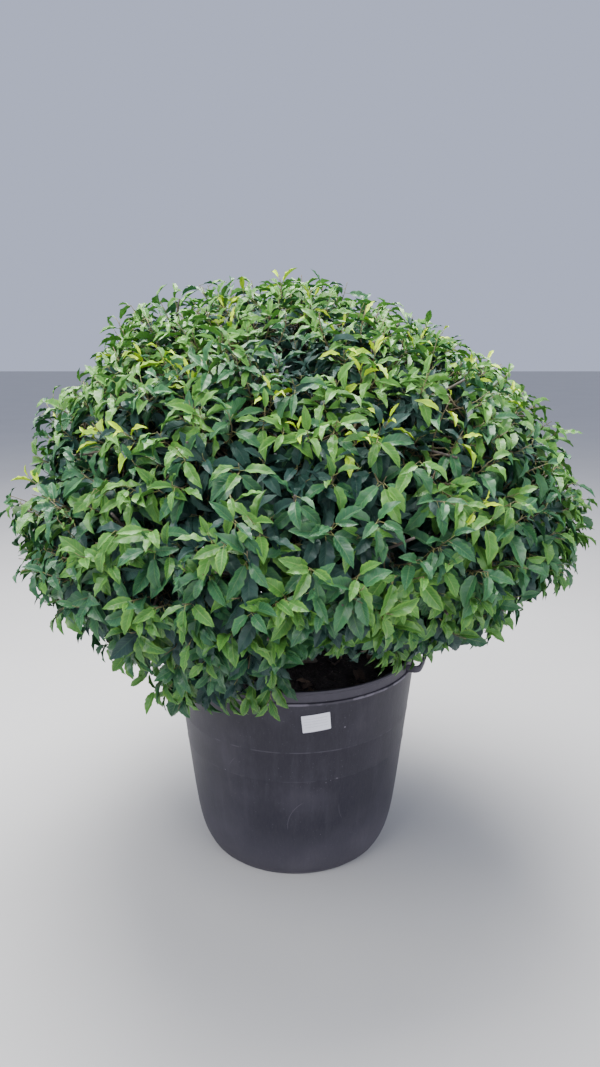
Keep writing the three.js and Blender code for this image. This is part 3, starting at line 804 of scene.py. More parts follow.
# %% Boughs
BOUGH_RADIUS = 0.012
BOUGH_TIP_RADIUS = 0.0075
BOUGH_OUT = 0.3
BOUGH_RISE = 0.16
BOUGH_TIP_RUN = 0.35
BOUGH_RELIEF = 0.05
RELIEF_RUN = 0.4
FORKS = {"lower": (0.806, 2), "upper": (0.925, 3)}
FORK_STEP = 0.036
BOUGH_RINGS = 44
BOUGH_SIDES = 20


def bough_line(ring, order, way):
    fork, turns = FORKS[ring]
    height = fork + FORK_STEP * (order % turns)
    start = trunk_line[np.argmin(np.abs(trunk_line[:, 2] - height))]
    end = crown_point(way, STEM_START) - way * CLEARANCE
    length = np.linalg.norm(end - start)
    out = start + unit(way * (1, 1, 0)) * length * BOUGH_OUT + UP * length * BOUGH_RISE
    controls = np.array([start, out, end - way * length * BOUGH_TIP_RUN, end])
    return bent_lines(controls[None], np.linspace(0, 1, BOUGH_RINGS))


share = np.linspace(0, 1, BOUGH_RINGS)[None, :, None]
around = 2 * math.pi * np.arange(BOUGH_SIDES)[None, None] / BOUGH_SIDES
bough_radii = BOUGH_RADIUS + (BOUGH_TIP_RADIUS - BOUGH_RADIUS) * share
bough_radii = bough_radii * bark_relief(share * RELIEF_RUN, around, BOUGH_RELIEF)
bark_pieces = [trunk]
for cell_name, ring, order, way in cells:
    if ring in FORKS:
        made = wrap_tubes(bough_line(ring, order, way), bough_radii, BOUGH_SIDES)
        bark_pieces.append(as_piece(f"bark_{cell_name}", *made, "bark", [f"bough_{cell_name}"]))
print(len(bark_pieces) - 1, "boughs with", len(bark_pieces[-1].data.polygons), "triangles each")

# %% [markdown]
# Each mass branches by the source's rule. A short stem carries on from the bough, and one branch
# runs from it to each of the mass's shoot tips, drawn with the same seeded numbers as in the source,
# so the branches here lie in the solid ones.

# %% Branches
SEED = 31
SEED_STEP = 97
SOURCE_SHOOTS = 106
SOURCE_LEAVES = 5
SHOOT_END = 0.92
SHOOT_END_SPREAD = 0.03
TWIG_STARTS = (0.56, 0.66)
TWIG_BEND = 0.79
TWIG_LEAN = 0.25
STEM_SHARES = (STEM_START, 0.6, 0.7)
RIM_GUARD_RADIUS = 0.396
RIM_GUARD_HEIGHT = 0.616
LEAF_FLOOR = 0.505
WORD = 0xFFFFFFFF


def seeded_random(seed):
    """The source's own generator, so that both deal the same numbers."""
    state = seed & WORD

    def draw():
        nonlocal state
        state = (state + 0x6D2B79F5) & WORD
        mixed = ((state ^ (state >> 15)) * (state | 1)) & WORD
        mixed ^= (mixed + ((mixed ^ (mixed >> 7)) * (mixed | 61) & WORD)) & WORD
        return (mixed ^ (mixed >> 14)) / 4294967296

    return draw


def clear_of_pot(points):
    """Over the rim, or outside it and not too near the ground."""
    radius = np.hypot(points[..., 0], points[..., 1])
    return points[..., 2] > np.where(radius > RIM_GUARD_RADIUS, LEAF_FLOOR, RIM_GUARD_HEIGHT)


source_ways = golden_ways(SOURCE_SHOOTS)
owner = np.argmax(source_ways @ cell_ways.T, axis=1)
branch_lines, branch_ways, branch_cells = [], [], []
for number, cell_way in enumerate(cell_ways):
    draw = seeded_random(SEED + SEED_STEP * number)
    for way in source_ways[owner == number]:
        root = crown_point(cell_way, TWIG_STARTS[0] + (TWIG_STARTS[1] - TWIG_STARTS[0]) * draw())
        tip = crown_point(way, SHOOT_END + SHOOT_END_SPREAD * (draw() - 0.5))
        if not clear_of_pot(tip):
            continue
        for _ in range(1 + SOURCE_LEAVES):
            draw()
        bend = crown_point(unit(way + (cell_way - way) * TWIG_LEAN), TWIG_BEND)
        branch_lines.append((root, bend, tip))
        branch_ways.append(way)
        branch_cells.append(number)
branch_lines, branch_ways, branch_cells = map(np.array, (branch_lines, branch_ways, branch_cells))
stem_lines = np.array([[crown_point(way, share) for share in STEM_SHARES] for way in cell_ways])
print(len(branch_lines), "branches on", len(stem_lines), "stems")

# %% [markdown]
# The rule is then carried a step finer, to far more shoots than the source has. They end at uneven
# depths, or the dome would look like a ball of felt: a slow wave over the crown pushes whole patches
# in and out by a few centimetres. Two more layers end further in, and close the gaps with dark
# leaves. The clipped top keeps nearly all shoots, and lower down the foliage is looser, so more and
# more are left out. The few that hang over the rim are placed one by one.

# %% Shoot tips
FINE_SHOOTS = 2480
WAY_SCATTER = 0.027
LAYER_SHARES = (0.56, 0.27, 0.17)
KEPT_BY_HEIGHT = ((0.66, 0.85, 1.15, 1.45), (0.33, 0.52, 0.80, 1.0))
INNER_BY_HEIGHT = ((0.66, 0.85, 1.00), (0.38, 0.78, 0.90))
RIM_SHOOTS = [
    # where shoots hang over the rim, as in the photograph
    (-0.163, -0.400, 0.608),
    (-0.112, -0.408, 0.622),
    (-0.062, -0.412, 0.604),
    (-0.215, -0.372, 0.612),
    (-0.290, -0.320, 0.575),
    (-0.335, -0.290, 0.570),
    (-0.395, -0.245, 0.600),
    (0.262, -0.318, 0.690),
    (0.225, -0.350, 0.705),
    (0.300, -0.265, 0.668),
    (0.352, -0.190, 0.675),
]
LAYER_TIPS = (0.937, 0.835, 0.72)
WAVES = [(9, 4, -7, 2.7), (-6, 10, 5, 3.4), (3, -8, 11, 4.7), (14, -5, 3, 6.1), (-12, -9, -10, 0.6)]
WAVE_DEPTH = (0.034, 0.02, 0.01)
TIP_SCATTER = 0.026
TIP_LIMITS = (0.66, 0.975)

chance = np.random.default_rng(SEED)


def slow_wave(ways):
    """A smooth value from about -1 to 1 that changes over a hand's breadth."""
    total = 0
    for *across, phase in WAVES:
        total = total + np.sin(ways @ np.array(across) + phase)
    return total / 3


fine_ways = golden_ways(FINE_SHOOTS)
fine_ways = unit(fine_ways + chance.normal(0, WAY_SCATTER, fine_ways.shape))
layer = np.searchsorted(np.cumsum(LAYER_SHARES)[:-1], chance.random(len(fine_ways)))
height = crown_point(fine_ways, 1.0)[:, 2]
odds = np.where(layer == 0, np.interp(height, *KEPT_BY_HEIGHT), np.interp(height, *INNER_BY_HEIGHT))
chosen = chance.random(len(fine_ways)) < odds
rim_tips = np.array(RIM_SHOOTS)
fine_ways = np.concatenate([fine_ways[chosen], unit(rim_tips - CROWN_CENTRE)])
layer = np.concatenate([layer[chosen], np.zeros(len(rim_tips), int)])
tip_share = np.array(LAYER_TIPS)[layer] + np.array(WAVE_DEPTH)[layer] * slow_wave(fine_ways)
tip_share = np.clip(tip_share + chance.normal(0, TIP_SCATTER, len(fine_ways)), *TIP_LIMITS)
fine_tip = crown_point(fine_ways, tip_share)
fine_tip[-len(rim_tips):] = rim_tips
print(len(fine_tip), "shoot tips, of which", len(rim_tips), "are over the rim")

# %% [markdown]
# A shoot leaves the nearest branch of its own mass, somewhere along it. High on the dome shoots turn
# up to the light, and low down they arch over, so each shoot's last stretch is aimed by its height.
# One that would touch the pot is left out.

# %% Fine shoots
OTHER_CELL = 10
SHOOT_STARTS = (0.34, 0.84)
SHOOT_HEAD = 0.105
RISE_BY_HEIGHT = ((0.62, 0.80, 1.05, 1.45), (-0.75, -0.05, 0.50, 0.95))
RISE_SCATTER = 0.22
AIM_OUTWARD = (1.1, 1.1, 0.6)
AIM_SCATTER = 0.16
SHOOT_TESTS = 12

fine_cells = np.argmax(fine_ways @ cell_ways.T, axis=1)
nearness = fine_ways @ branch_ways.T - OTHER_CELL * (fine_cells[:, None] != branch_cells[None])
parent_lines = branch_lines[np.argmax(nearness, axis=1)]
start_share = chance.uniform(*SHOOT_STARTS, len(fine_ways))
fine_start = bent_lines(parent_lines, start_share[:, None])[:, 0]
rise = np.interp(fine_tip[:, 2], *RISE_BY_HEIGHT) + chance.normal(0, RISE_SCATTER, len(fine_ways))
aim_scatter = chance.normal(0, AIM_SCATTER, fine_ways.shape)
aim = unit(fine_ways * AIM_OUTWARD + UP * rise[:, None] + aim_scatter)
fine_lines = np.stack([fine_start, fine_tip - aim * SHOOT_HEAD, fine_tip], axis=1)
over_rim = np.arange(len(fine_ways)) >= len(fine_ways) - len(rim_tips)
fits = clear_of_pot(bent_lines(fine_lines, np.linspace(0, 1, SHOOT_TESTS))).all(axis=1)
fine_lines, fine_ways, fine_cells, layer, over_rim = (
    facts[fits] for facts in (fine_lines, fine_ways, fine_cells, layer, over_rim)
)
print(len(fine_lines), "fine shoots, by layer", np.bincount(layer))

# %% [markdown]
# Stems, branches and shoots are tubes round those lines, each tapering to its tip. Old wood is
# grey brown, and young shoots are thin and a greener brown, so they are joined as two kinds. Each
# kind is split between the dome's upper and lower masses to keep its pieces small.

# %% Twigs
STEM_RADII = (0.0072, 0.0055)
BRANCH_RADII = (0.0055, 0.0026)
SHOOT_RADII = (0.0021, 0.0009)

high_cell = np.array([ring != "lower" for _, ring, *_ in cells])
halves = {}
for word, high in (("upper", True), ("lower", False)):
    halves[word] = high, [f"foliage_{name}" for name, ring, *_ in cells if (ring != "lower") == high]
wood, shoots = [], []
for word, (high, nodes) in halves.items():
    old = joined([
        tapered(stem_lines[high_cell == high], STEM_RADII, 4, 8),
        tapered(branch_lines[high_cell[branch_cells] == high], BRANCH_RADII, 14, 6),
    ])
    wood.append(as_piece(f"branches_{word}", *old, "bark", nodes))
    young = tapered(fine_lines[high_cell[fine_cells] == high], SHOOT_RADII, 6, 4)
    shoots.append(as_piece(f"shoots_{word}", *young, "bark", nodes))
print("twig triangles", [len(piece.data.polygons) for piece in wood + shoots])

# %% [markdown]
# A laurel leaf is a pointed oval, widest below its middle, with a finely toothed, wavy edge. Its two
# halves fold up from a pale midrib and the whole blade arches down. Each half is its own strip, so
# that light breaks sharply at the rib. A few different blades are enough, since the eye can't find
# them again once they are turned, sized and tinted by chance.

# %% Blades
BLADE_STEPS = 12
BLADE_WIDE = 0.40
TOOTH = 0.06
BLADE_SHAPES = [
    # arch, fold, wave, number of waves, sideways bend
    (0.55, 0.50, 0.035, 2.2, 0.03),
    (0.95, 0.40, 0.050, 2.7, -0.05),
    (0.75, 0.62, 0.035, 3.2, 0.06),
    (1.25, 0.52, 0.045, 2.4, -0.02),
    (0.35, 0.36, 0.055, 2.9, -0.07),
    (1.05, 0.70, 0.040, 2.0, 0.04),
    (0.65, 0.80, 0.035, 3.5, 0.00),
    (1.45, 0.45, 0.050, 2.6, 0.05),
]


def blade(arch, fold, wave, waves, sideways):
    """Corners of one blade of length 1: x across, y along and z up from its face."""
    along = np.linspace(0, 1, BLADE_STEPS + 1)
    half = along**0.72 * (1 - along) ** 0.95 * (1 - 0.35 * along**5)
    half = half / half.max() * BLADE_WIDE / 2
    half[1:-1] *= 1 + TOOTH * (-1.0) ** np.arange(BLADE_STEPS - 1)
    turn = arch * along
    rib = np.stack([sideways * along**2, np.sin(turn) / arch, (np.cos(turn) - 1) / arch], axis=1)
    lift = np.stack([0 * turn, np.sin(turn), np.cos(turn)], axis=1)
    corners = []
    for side in (-1, 1):
        rise = fold * half + wave * half * 4 * np.sin(2 * math.pi * waves * along + side)
        edge = rib + lift * rise[:, None]
        edge[:, 0] += side * half
        corners += [rib, edge[1:-1]]
    return np.concatenate(corners)


def blade_faces():
    ribs, edges = BLADE_STEPS + 1, BLADE_STEPS - 1
    faces = []
    for side in (0, 1):
        rib = side * (ribs + edges)
        edge = rib + ribs - 1
        strip = [(rib, rib + 1, edge + 1), (rib + ribs - 2, rib + ribs - 1, edge + edges)]
        for i in range(1, edges):
            strip += [(rib + i, rib + i + 1, edge + i + 1), (rib + i, edge + i + 1, edge + i)]
        faces += [face[::-1] if side == 0 else face for face in strip]
    return np.array(faces)


def blade_marks():
    """How far each corner lies from the rib, and how far along."""
    along = np.linspace(0, 1, BLADE_STEPS + 1)
    one = np.concatenate([np.stack([0 * along, along], 1), np.stack([0 * along + 1, along], 1)[1:-1]])
    return np.concatenate([one, one])


blades = np.array([blade(*shape) for shape in BLADE_SHAPES])
faces_of_blade, marks_of_blade = blade_faces(), blade_marks()
print(len(blades), "blades with", len(faces_of_blade), "triangles each")

# %% [markdown]
# Leaves sit round the outer half of their shoot by the golden angle, as in the source. They are
# smaller towards its tip and high on the dome, and larger in the layers inside. A shoot's own vigour
# makes all its leaves a little larger or smaller, which looks more natural than chance leaf by leaf.

# %% Leaf roots and sizes
LEAVES_PER_SHOOT = 10
LEAF_SHARES = (0.42, 0.985)
LEAF_LENGTHS = (0.070, 0.096)
SIZE_BY_HEIGHT = ((0.65, 0.95, 1.20, 1.50), (0.98, 0.96, 0.93, 0.80))
SIZE_ALONG = ((0.3, 0.6, 0.8, 0.9, 1), (0.9, 1.0, 0.94, 0.80, 0.58))
LAYER_SIZES = (1.0, 1.1, 1.22)
VIGOUR = (0.88, 1.06)
RAISED_SIDE = 0.35

# Facts of a shoot are columns and facts of a leaf are tables, so that sums spread over the leaves.
every_shoot = (len(fine_lines), 1)
every_leaf = (len(fine_lines), LEAVES_PER_SHOOT)
shoot_height = fine_lines[:, 2, 2:]
layer, over_rim = layer[:, None], over_rim[:, None]
leaf_order = np.arange(LEAVES_PER_SHOOT)

leaf_shares = np.linspace(*LEAF_SHARES, LEAVES_PER_SHOOT)
leaf_roots = bent_lines(fine_lines, leaf_shares)
leaf_axes = unit(bent_lines(fine_lines, leaf_shares + 0.01) - bent_lines(fine_lines, leaf_shares - 0.01))
leaf_turn = np.radians(chance.uniform(0, 360, every_shoot) + GOLDEN_ANGLE * leaf_order)[..., None]
level_side = unit(np.cross(leaf_axes, UP) + (1e-4, 0, 0))
leaf_side = level_side * np.cos(leaf_turn) + np.cross(leaf_axes, level_side) * np.sin(leaf_turn)
leaf_side[..., 2] = np.where(leaf_side[..., 2] > 0, leaf_side[..., 2] * RAISED_SIDE, leaf_side[..., 2])
vigour = chance.uniform(*VIGOUR, every_shoot)
vigour = vigour * (np.interp(shoot_height, *SIZE_BY_HEIGHT) * np.array(LAYER_SIZES)[layer])
leaf_length = chance.uniform(*LEAF_LENGTHS, every_leaf) * np.interp(leaf_shares, *SIZE_ALONG) * vigour
print("places for", leaf_length.size, "leaves, most of them", np.percentile(leaf_length, (10, 90)).round(3))

# %% [markdown]
# A leaf leans along its shoot, outward and down. Low on the dome leaves hang and turn their faces
# out, near the top they hold level, and those at a shoot's tip stand along it.

# %% How leaves hang
LEAF_LIFT = (0.40, 1.5)
DROOP_BY_HEIGHT = ((0.62, 0.85, 1.10, 1.45), (1.25, 0.90, 0.45, 0.02))
DROOP_AT_START = 1.1
DROOP_LOST_AT_TIP = 0.75
DROOP_SCATTER = 0.32
ROLL_SCATTER = 0.40
TURNED_OUT_BY_HEIGHT = ((0.62, 0.85, 1.15, 1.40), (1.1, 0.8, 0.3, 0.0))

at_tip = leaf_shares**5
root_height = leaf_roots[..., 2]
leaf_lift = np.tile(LEAF_LIFT[0] + (LEAF_LIFT[1] - LEAF_LIFT[0]) * at_tip, every_shoot)
leaf_droop = np.interp(root_height, *DROOP_BY_HEIGHT) * (DROOP_AT_START - DROOP_LOST_AT_TIP * at_tip)
leaf_droop = leaf_droop + chance.normal(0, DROOP_SCATTER, every_leaf)
leaf_roll = chance.normal(0, ROLL_SCATTER, every_leaf)[..., None]
turned_out = np.interp(root_height, *TURNED_OUT_BY_HEIGHT)[..., None]
turned_out = unit(leaf_roots - CROWN_CENTRE) * turned_out
print("leaves droop by", leaf_droop.mean().round(2), "on average, against 1 outward")

# %% [markdown]
# New growth shows at a few shoots on the outside of the dome, above all on its sunny side. Their
# last four leaves stand up along the shoot, and are smaller, slimmer and brighter towards its tip.

# %% New growth
NEW_GROWTH_BY_HEIGHT = ((1.08, 1.20, 1.32, 1.50), (0.0, 0.06, 0.13, 0.13))
SUNNY_WAY = (-112, 38)
NEW_GROWTH_BY_SUN = ((-0.2, 0.6, 1.0), (0.5, 0.9, 2.0))
YOUNG_LEAVES = [
    # droop, lift, length, width and tone
    (0.15, 0.5, 0.074, 0.78, 0.15),
    (-0.20, 1.1, 0.062, 0.64, 0.70),
    (-0.40, 1.7, 0.052, 0.54, 0.95),
    (-0.50, 2.2, 0.040, 0.50, 1.0),
]
FIRST_YOUNG = LEAVES_PER_SHOOT - len(YOUNG_LEAVES)

sunny = np.interp(fine_ways @ direction_of(*SUNNY_WAY), *NEW_GROWTH_BY_SUN)[:, None]
odds = np.interp(shoot_height, *NEW_GROWTH_BY_HEIGHT) * sunny
new_growth = (chance.random(every_shoot) < odds) & (layer == 0)
young_droop, young_lift, young_length, young_width, young_tone = np.array(YOUNG_LEAVES).T
young_spots = new_growth[:, 0], slice(FIRST_YOUNG, None)
leaf_droop[young_spots] = young_droop
leaf_lift[young_spots] = young_lift
leaf_length[young_spots] = young_length * vigour[new_growth[:, 0]]
print(int(new_growth.sum()), "shoots with new growth")

# %% [markdown]
# Each blade's face is turned partly to its shoot's tip, as it grows, and partly to the light. A leaf
# that would leave the crown or touch the pot droops more, shrinks a little, or is left out. It may
# stand out a little further under the dome, at its right and over the rim, and less far on top.

# %% Which leaves fit
STALK = 0.012
FACE_ALONG = 0.4
FACE_INWARD = 0.35
FACE_UP = 0.8
UNDERSIDE_SLACK = 0.07
UNDERSIDE_SLOPE = 1.4
RIGHT_SLACK = 0.035
TOP_SLACK = -0.03
RIM_SLACK = 0.25
EDGE_SCATTER = 0.03
EDGE_LIMITS = (-0.12, 0.03)
FLOOR_SCATTER = 0.04
TESTED_SHARES = (0.55, 1.0)
BLADE_SAG = 0.25
TRIES = [
    # added droop, and share of the length
    (0, 1),
    (0.5, 1),
    (1.2, 0.95),
    (0.2, 0.8),
]


def leaf_frames(droop):
    """Three directions for each leaf: across, along and out of its face."""
    along = unit(leaf_axes * leaf_lift[..., None] + leaf_side - UP * droop[..., None])
    facing = leaf_axes * FACE_ALONG - leaf_side * FACE_INWARD + UP * FACE_UP
    across = unit(np.cross(along, unit(facing + turned_out)))
    normal = np.cross(across, along)
    across, normal = (
        across * np.cos(leaf_roll) + normal * np.sin(leaf_roll),
        normal * np.cos(leaf_roll) - across * np.sin(leaf_roll),
    )
    return np.stack([across, along, normal], axis=-2)


edge_scatter = np.clip(chance.normal(0, EDGE_SCATTER, every_leaf), *EDGE_LIMITS) + RIM_SLACK * over_rim
floor_scatter = np.abs(chance.normal(0, FLOOR_SCATTER, every_leaf)) * ~over_rim


def within_crown(points):
    """Inside the outline, give or take the slack."""
    arm = points - CROWN_CENTRE
    way = unit(arm)
    slack = 1 + UNDERSIDE_SLACK * np.clip(-UNDERSIDE_SLOPE * way[..., 2], 0, 1) + edge_scatter
    slack = slack + RIGHT_SLACK * np.clip(way[..., 0] - np.abs(way[..., 2]), 0, 1)
    slack = slack + TOP_SLACK * np.clip(way[..., 2], 0, 1)
    return np.linalg.norm(arm, axis=-1) < slack * reach(way)


frames = np.zeros((*every_leaf, 3, 3))
lengths = np.zeros(every_leaf)
kept = np.zeros(every_leaf, bool)
for more_droop, smaller in TRIES:
    tried = leaf_frames(leaf_droop + more_droop)
    length = leaf_length * smaller
    fits = ~kept
    for share in TESTED_SHARES:
        spot = leaf_roots + tried[..., 1, :] * (STALK + share * length)[..., None]
        spot = spot - UP * (BLADE_SAG * share**2 * length)[..., None]
        fits &= within_crown(spot) & clear_of_pot(spot - UP * floor_scatter[..., None])
    frames[fits], lengths[fits] = tried[fits], length[fits]
    kept |= fits
print(int(kept.sum()), "leaves fit of", kept.size)

# %% [markdown]
# Colour comes in a few kinds, dealt out by shoot and not drawn on as a pattern: deep blue green for
# old leaves and those inside, plain green, fresh green that is commonest high on the dome, and the
# bright yellow green of new growth. Some dead leaves low inside are brown. A later rule overrules the
# ones before it. Part of this is painted light and shade: fresh green is commoner high up partly as
# painted light, leaves low at the front under the gap are dealt deep green as painted shade, and each
# leaf's tone is painted darker low down and in the inner layers and paler high on the dome. Leaves
# are also slimmer high on the dome.

# %% Leaf kinds
LEAF_KINDS = ("deep", "green", "fresh", "young", "dry")
HEIGHTS = (0.60, 0.90, 1.20, 1.55)
# Fresh odds rise with height partly as painted light on the dome's top and painted shade low down.
FRESH_ODDS = (0.10, 0.16, 0.30, 0.48)
FRESH_TIP_ODDS = (0.42, 0.50, 0.62, 0.75)
FIRST_TIP_LEAF = 6
OLD_LEAVES = 4
OLD_ODDS = 0.6
INNER_ODDS = 0.75
# Painted shade: leaves low at the front, under the gap over the rim, are dealt deep green.
SHADED_WAY = (-75, -42)
SHADED_SPREAD = 33
SHADED_TOP = 0.78
SHADED_ODDS = 0.75
DRY_TOP = 0.85
DRY_ODDS = 0.06
SLIM_BY_HEIGHT = ((0.90, 1.15, 1.45), (1.0, 0.92, 0.76))
SLIM_SCATTER = (0.88, 1.12)
SHOOT_TONE = (0.55, 0.22)  # middle and spread
TONE_SCATTER = 0.12
# Painted light and shade: leaf tone is lowered low on the dome, raised high on it, and lowered in the inner
# layers.
PAINTED_LIGHT_BY_HEIGHT = ((0.65, 1.0, 1.3, 1.5), (-0.38, -0.06, 0.20, 0.36))
LAYER_PAINTED_SHADE = (0, 0.2, 0.4)


def deal(kind, wanted):
    """Gives a kind to all leaves that pass the test."""
    kinds[np.broadcast_to(wanted, every_leaf)] = kind


first_deal, second_deal = chance.random((2, *every_shoot))
kinds = np.full(every_leaf, "green")
deal("fresh", first_deal < np.interp(shoot_height, HEIGHTS, FRESH_ODDS))
deal("deep", (leaf_order < OLD_LEAVES) & (chance.random(every_leaf) < OLD_ODDS))
fresh_tip = (layer == 0) & (second_deal < np.interp(shoot_height, HEIGHTS, FRESH_TIP_ODDS))
deal("fresh", fresh_tip & (leaf_order >= FIRST_TIP_LEAF))
deal("deep", (layer == 1) & (second_deal < INNER_ODDS) | (layer == 2))
deal("fresh", new_growth & (leaf_order >= FIRST_YOUNG - 1))
deal("young", new_growth & (leaf_order >= FIRST_YOUNG))
# Painted shade: the low front leaves that lie in shade are given the deep colour.
shaded = fine_ways @ direction_of(*SHADED_WAY) > math.cos(math.radians(SHADED_SPREAD))
shaded = shaded[:, None] & (shoot_height < SHADED_TOP) & ~over_rim
deal("deep", shaded & (chance.random(every_leaf) < SHADED_ODDS))
deal("fresh", over_rim & (leaf_order >= OLD_LEAVES))
deal("dry", (layer > 0) & (shoot_height < DRY_TOP) & (chance.random(every_leaf) < DRY_ODDS))
slim = np.interp(shoot_height, *SLIM_BY_HEIGHT) * chance.uniform(*SLIM_SCATTER, every_leaf)
tones = chance.normal(*SHOOT_TONE, every_shoot) + chance.normal(0, TONE_SCATTER, every_leaf)
# Painted shade and light: tones darker in the inner layers and low down, paler high up.
tones = tones - np.array(LAYER_PAINTED_SHADE)[layer] + np.interp(shoot_height, *PAINTED_LIGHT_BY_HEIGHT)
slim[young_spots], tones[young_spots] = young_width, young_tone
tones = np.clip(tones, 0, 1)
print({kind: int((kept & (kinds == kind)).sum()) for kind in LEAF_KINDS})

# %% [markdown]
# Each kind is written as a few joined pieces of whole masses, none of them too large for the export. A
# blade's own coordinates go along as a UV map, and its tone as an attribute, so that one finish can draw
# the rib and veins of every leaf of a kind and still tint each a little differently; the tone also holds
# the painted light and shade dealt by height and layer.

# %% Leaf pieces
MOST_LEAVES = 4300


def write_marks(piece, leaves, tone):
    """The blade's own coordinates as a UV map, and one tone for each leaf."""
    marks = np.tile(marks_of_blade[faces_of_blade.ravel()], (leaves, 1))
    blade_map = piece.data.uv_layers.new(name="blade")
    blade_map.data.foreach_set("uv", marks.astype(np.float32).ravel())
    each = piece.data.attributes.new("tone", "FLOAT", "POINT")
    each.data.foreach_set("value", np.repeat(tone, len(marks_of_blade)).astype(np.float32))


def leaf_piece(name, roots, turns, sizes, widths, tone, nodes):
    shapes = blades[chance.integers(0, len(blades), len(roots))]
    scale = np.stack([sizes * widths, sizes, sizes], axis=1)
    points = roots[:, None] + np.einsum("nij,njk->nik", shapes * scale[:, None], turns)
    faces = faces_of_blade + (np.arange(len(roots)) * len(marks_of_blade))[:, None, None]
    piece = as_piece(name, points.reshape(-1, 3), faces.reshape(-1, 3), "foliage", nodes)
    write_marks(piece, len(roots), tone)
    return piece


def grouped_cells(amounts):
    """Cells in a row, as many together as one piece may hold."""
    groups, total = [[]], 0
    for number, amount in enumerate(amounts):
        if groups[-1] and total + amount > MOST_LEAVES:
            groups.append([])
            total = 0
        groups[-1].append(number)
        total += amount
    return groups


leaf_bases = leaf_roots + frames[..., 1, :] * STALK
leaf_pieces = {kind: [] for kind in LEAF_KINDS}
for kind, pieces in leaf_pieces.items():
    of_kind = kept & (kinds == kind)
    amounts = [int(of_kind[fine_cells == number].sum()) for number in range(len(cells))]
    for order, group in enumerate(grouped_cells(amounts)):
        wanted = of_kind & np.isin(fine_cells, group)[:, None]
        facts = (part[wanted] for part in (leaf_bases, frames, lengths, slim, tones))
        nodes = [f"foliage_{cells[number][0]}" for number in group]
        pieces.append(leaf_piece(f"leaves_{kind}_{order + 1}", *facts, nodes))
print({piece.name: len(piece.data.polygons) for pieces in leaf_pieces.values() for piece in pieces})

# %% [markdown]
# Each leaf hangs on a short stalk. It is only a millimetre thick, but without it the blades would
# float beside their shoots. Three sides are enough for a tube that thin.

# %% Leaf stalks
STALK_RADII = (0.0009, 0.0007)
STALK_OVERLAP = 0.002

stalk_ends = leaf_bases + frames[..., 1, :] * STALK_OVERLAP
stalk_lines = np.stack([leaf_roots, (leaf_roots + leaf_bases) / 2, stalk_ends], axis=2)
stalks = []
for word, (high, nodes) in halves.items():
    wanted = kept & (high_cell[fine_cells] == high)[:, None]
    made = tapered(stalk_lines[wanted], STALK_RADII, 2, 3)
    stalks.append(as_piece(f"stalks_{word}", *made, "foliage", nodes))
print("stalk triangles", [len(piece.data.polygons) for piece in stalks])

# %% [markdown]
# Some dead leaves lie on the compost, with crumbs of bark and a little pale grit. They show through
# the gap over the rim, and stop the dark inside from looking like a flat disc.

# %% Litter on the compost
FALLEN = 26
FALLEN_RING = (0.10, 0.30)
FALLEN_LIFT = 0.006
FALLEN_TILT = (-6, 8)
FALLEN_LENGTHS = (0.06, 0.09)
FALLEN_WIDTHS = (0.8, 1.1)
FALLEN_REACH = 0.315
LUMP_RING = (0.085, 0.325)
LUMP_UNEVEN = (0.6, 1.3)
# how many lumps, their sizes, and the share of one that sinks in
CRUMBS = (900, (0.0015, 0.0055), 0.25)
GRIT = (70, (0.001, 0.0026), 0.2)
LUMP_HALF = 0.7
LUMP_POINTS = [(1, 0, 0), (0, 1, 0), (-1, 0, 0), (0, -1, 0), (0, 0, LUMP_HALF), (0, 0, -LUMP_HALF)]
LUMP_FACES = [(0, 1, 4), (1, 2, 4), (2, 3, 4), (3, 0, 4), (1, 0, 5), (2, 1, 5), (3, 2, 5), (0, 3, 5)]


def scatter(count, inner, outer):
    """Places on the compost, spread evenly over a ring."""
    radius = np.sqrt(chance.uniform(inner**2, outer**2, count))
    angle = chance.uniform(0, 2 * math.pi, count)
    height = np.interp(radius, *zip(*reversed(SOIL_TOP)))
    return np.stack([radius * np.cos(angle), radius * np.sin(angle), height], axis=1)


def lumps(count, sizes, sink):
    """Small uneven lumps: an octahedron each, pulled about by chance."""
    spots = scatter(count, *LUMP_RING)
    size = chance.uniform(*sizes, (count, 1, 1))
    points = np.array(LUMP_POINTS) * size * chance.uniform(*LUMP_UNEVEN, (count, len(LUMP_POINTS), 1))
    turn = chance.uniform(0, 2 * math.pi, (count, 1))
    x, y = points[..., 0].copy(), points[..., 1].copy()
    points[..., 0] = x * np.cos(turn) - y * np.sin(turn)
    points[..., 1] = x * np.sin(turn) + y * np.cos(turn)
    points = points + spots[:, None] + UP * (size * (LUMP_HALF - sink))
    faces = np.array(LUMP_FACES) + (np.arange(count) * len(LUMP_POINTS))[:, None, None]
    return points.reshape(-1, 3), faces.reshape(-1, 3)


spots = scatter(FALLEN, *FALLEN_RING) + UP * FALLEN_LIFT
heading = direction_of(chance.uniform(0, 360, FALLEN), chance.uniform(*FALLEN_TILT, FALLEN))
sizes, widths = chance.uniform(*FALLEN_LENGTHS, FALLEN), chance.uniform(*FALLEN_WIDTHS, FALLEN)
tips = spots + heading * sizes[:, None]
heading[np.hypot(tips[:, 0], tips[:, 1]) > FALLEN_REACH] *= -1
across = unit(np.cross(heading, UP))
turns = np.stack([across, heading, np.cross(across, heading)], axis=1)
fallen = leaf_piece("leaves_fallen", spots, turns, sizes, widths, chance.random(FALLEN), [])
crumbs = as_piece("compost_crumbs", *lumps(*CRUMBS), "soil", [], False)
grit = as_piece("compost_grit", *lumps(*GRIT), "soil", [], False)
print("litter pieces", [len(piece.data.polygons) for piece in (fallen, crumbs, grit)])
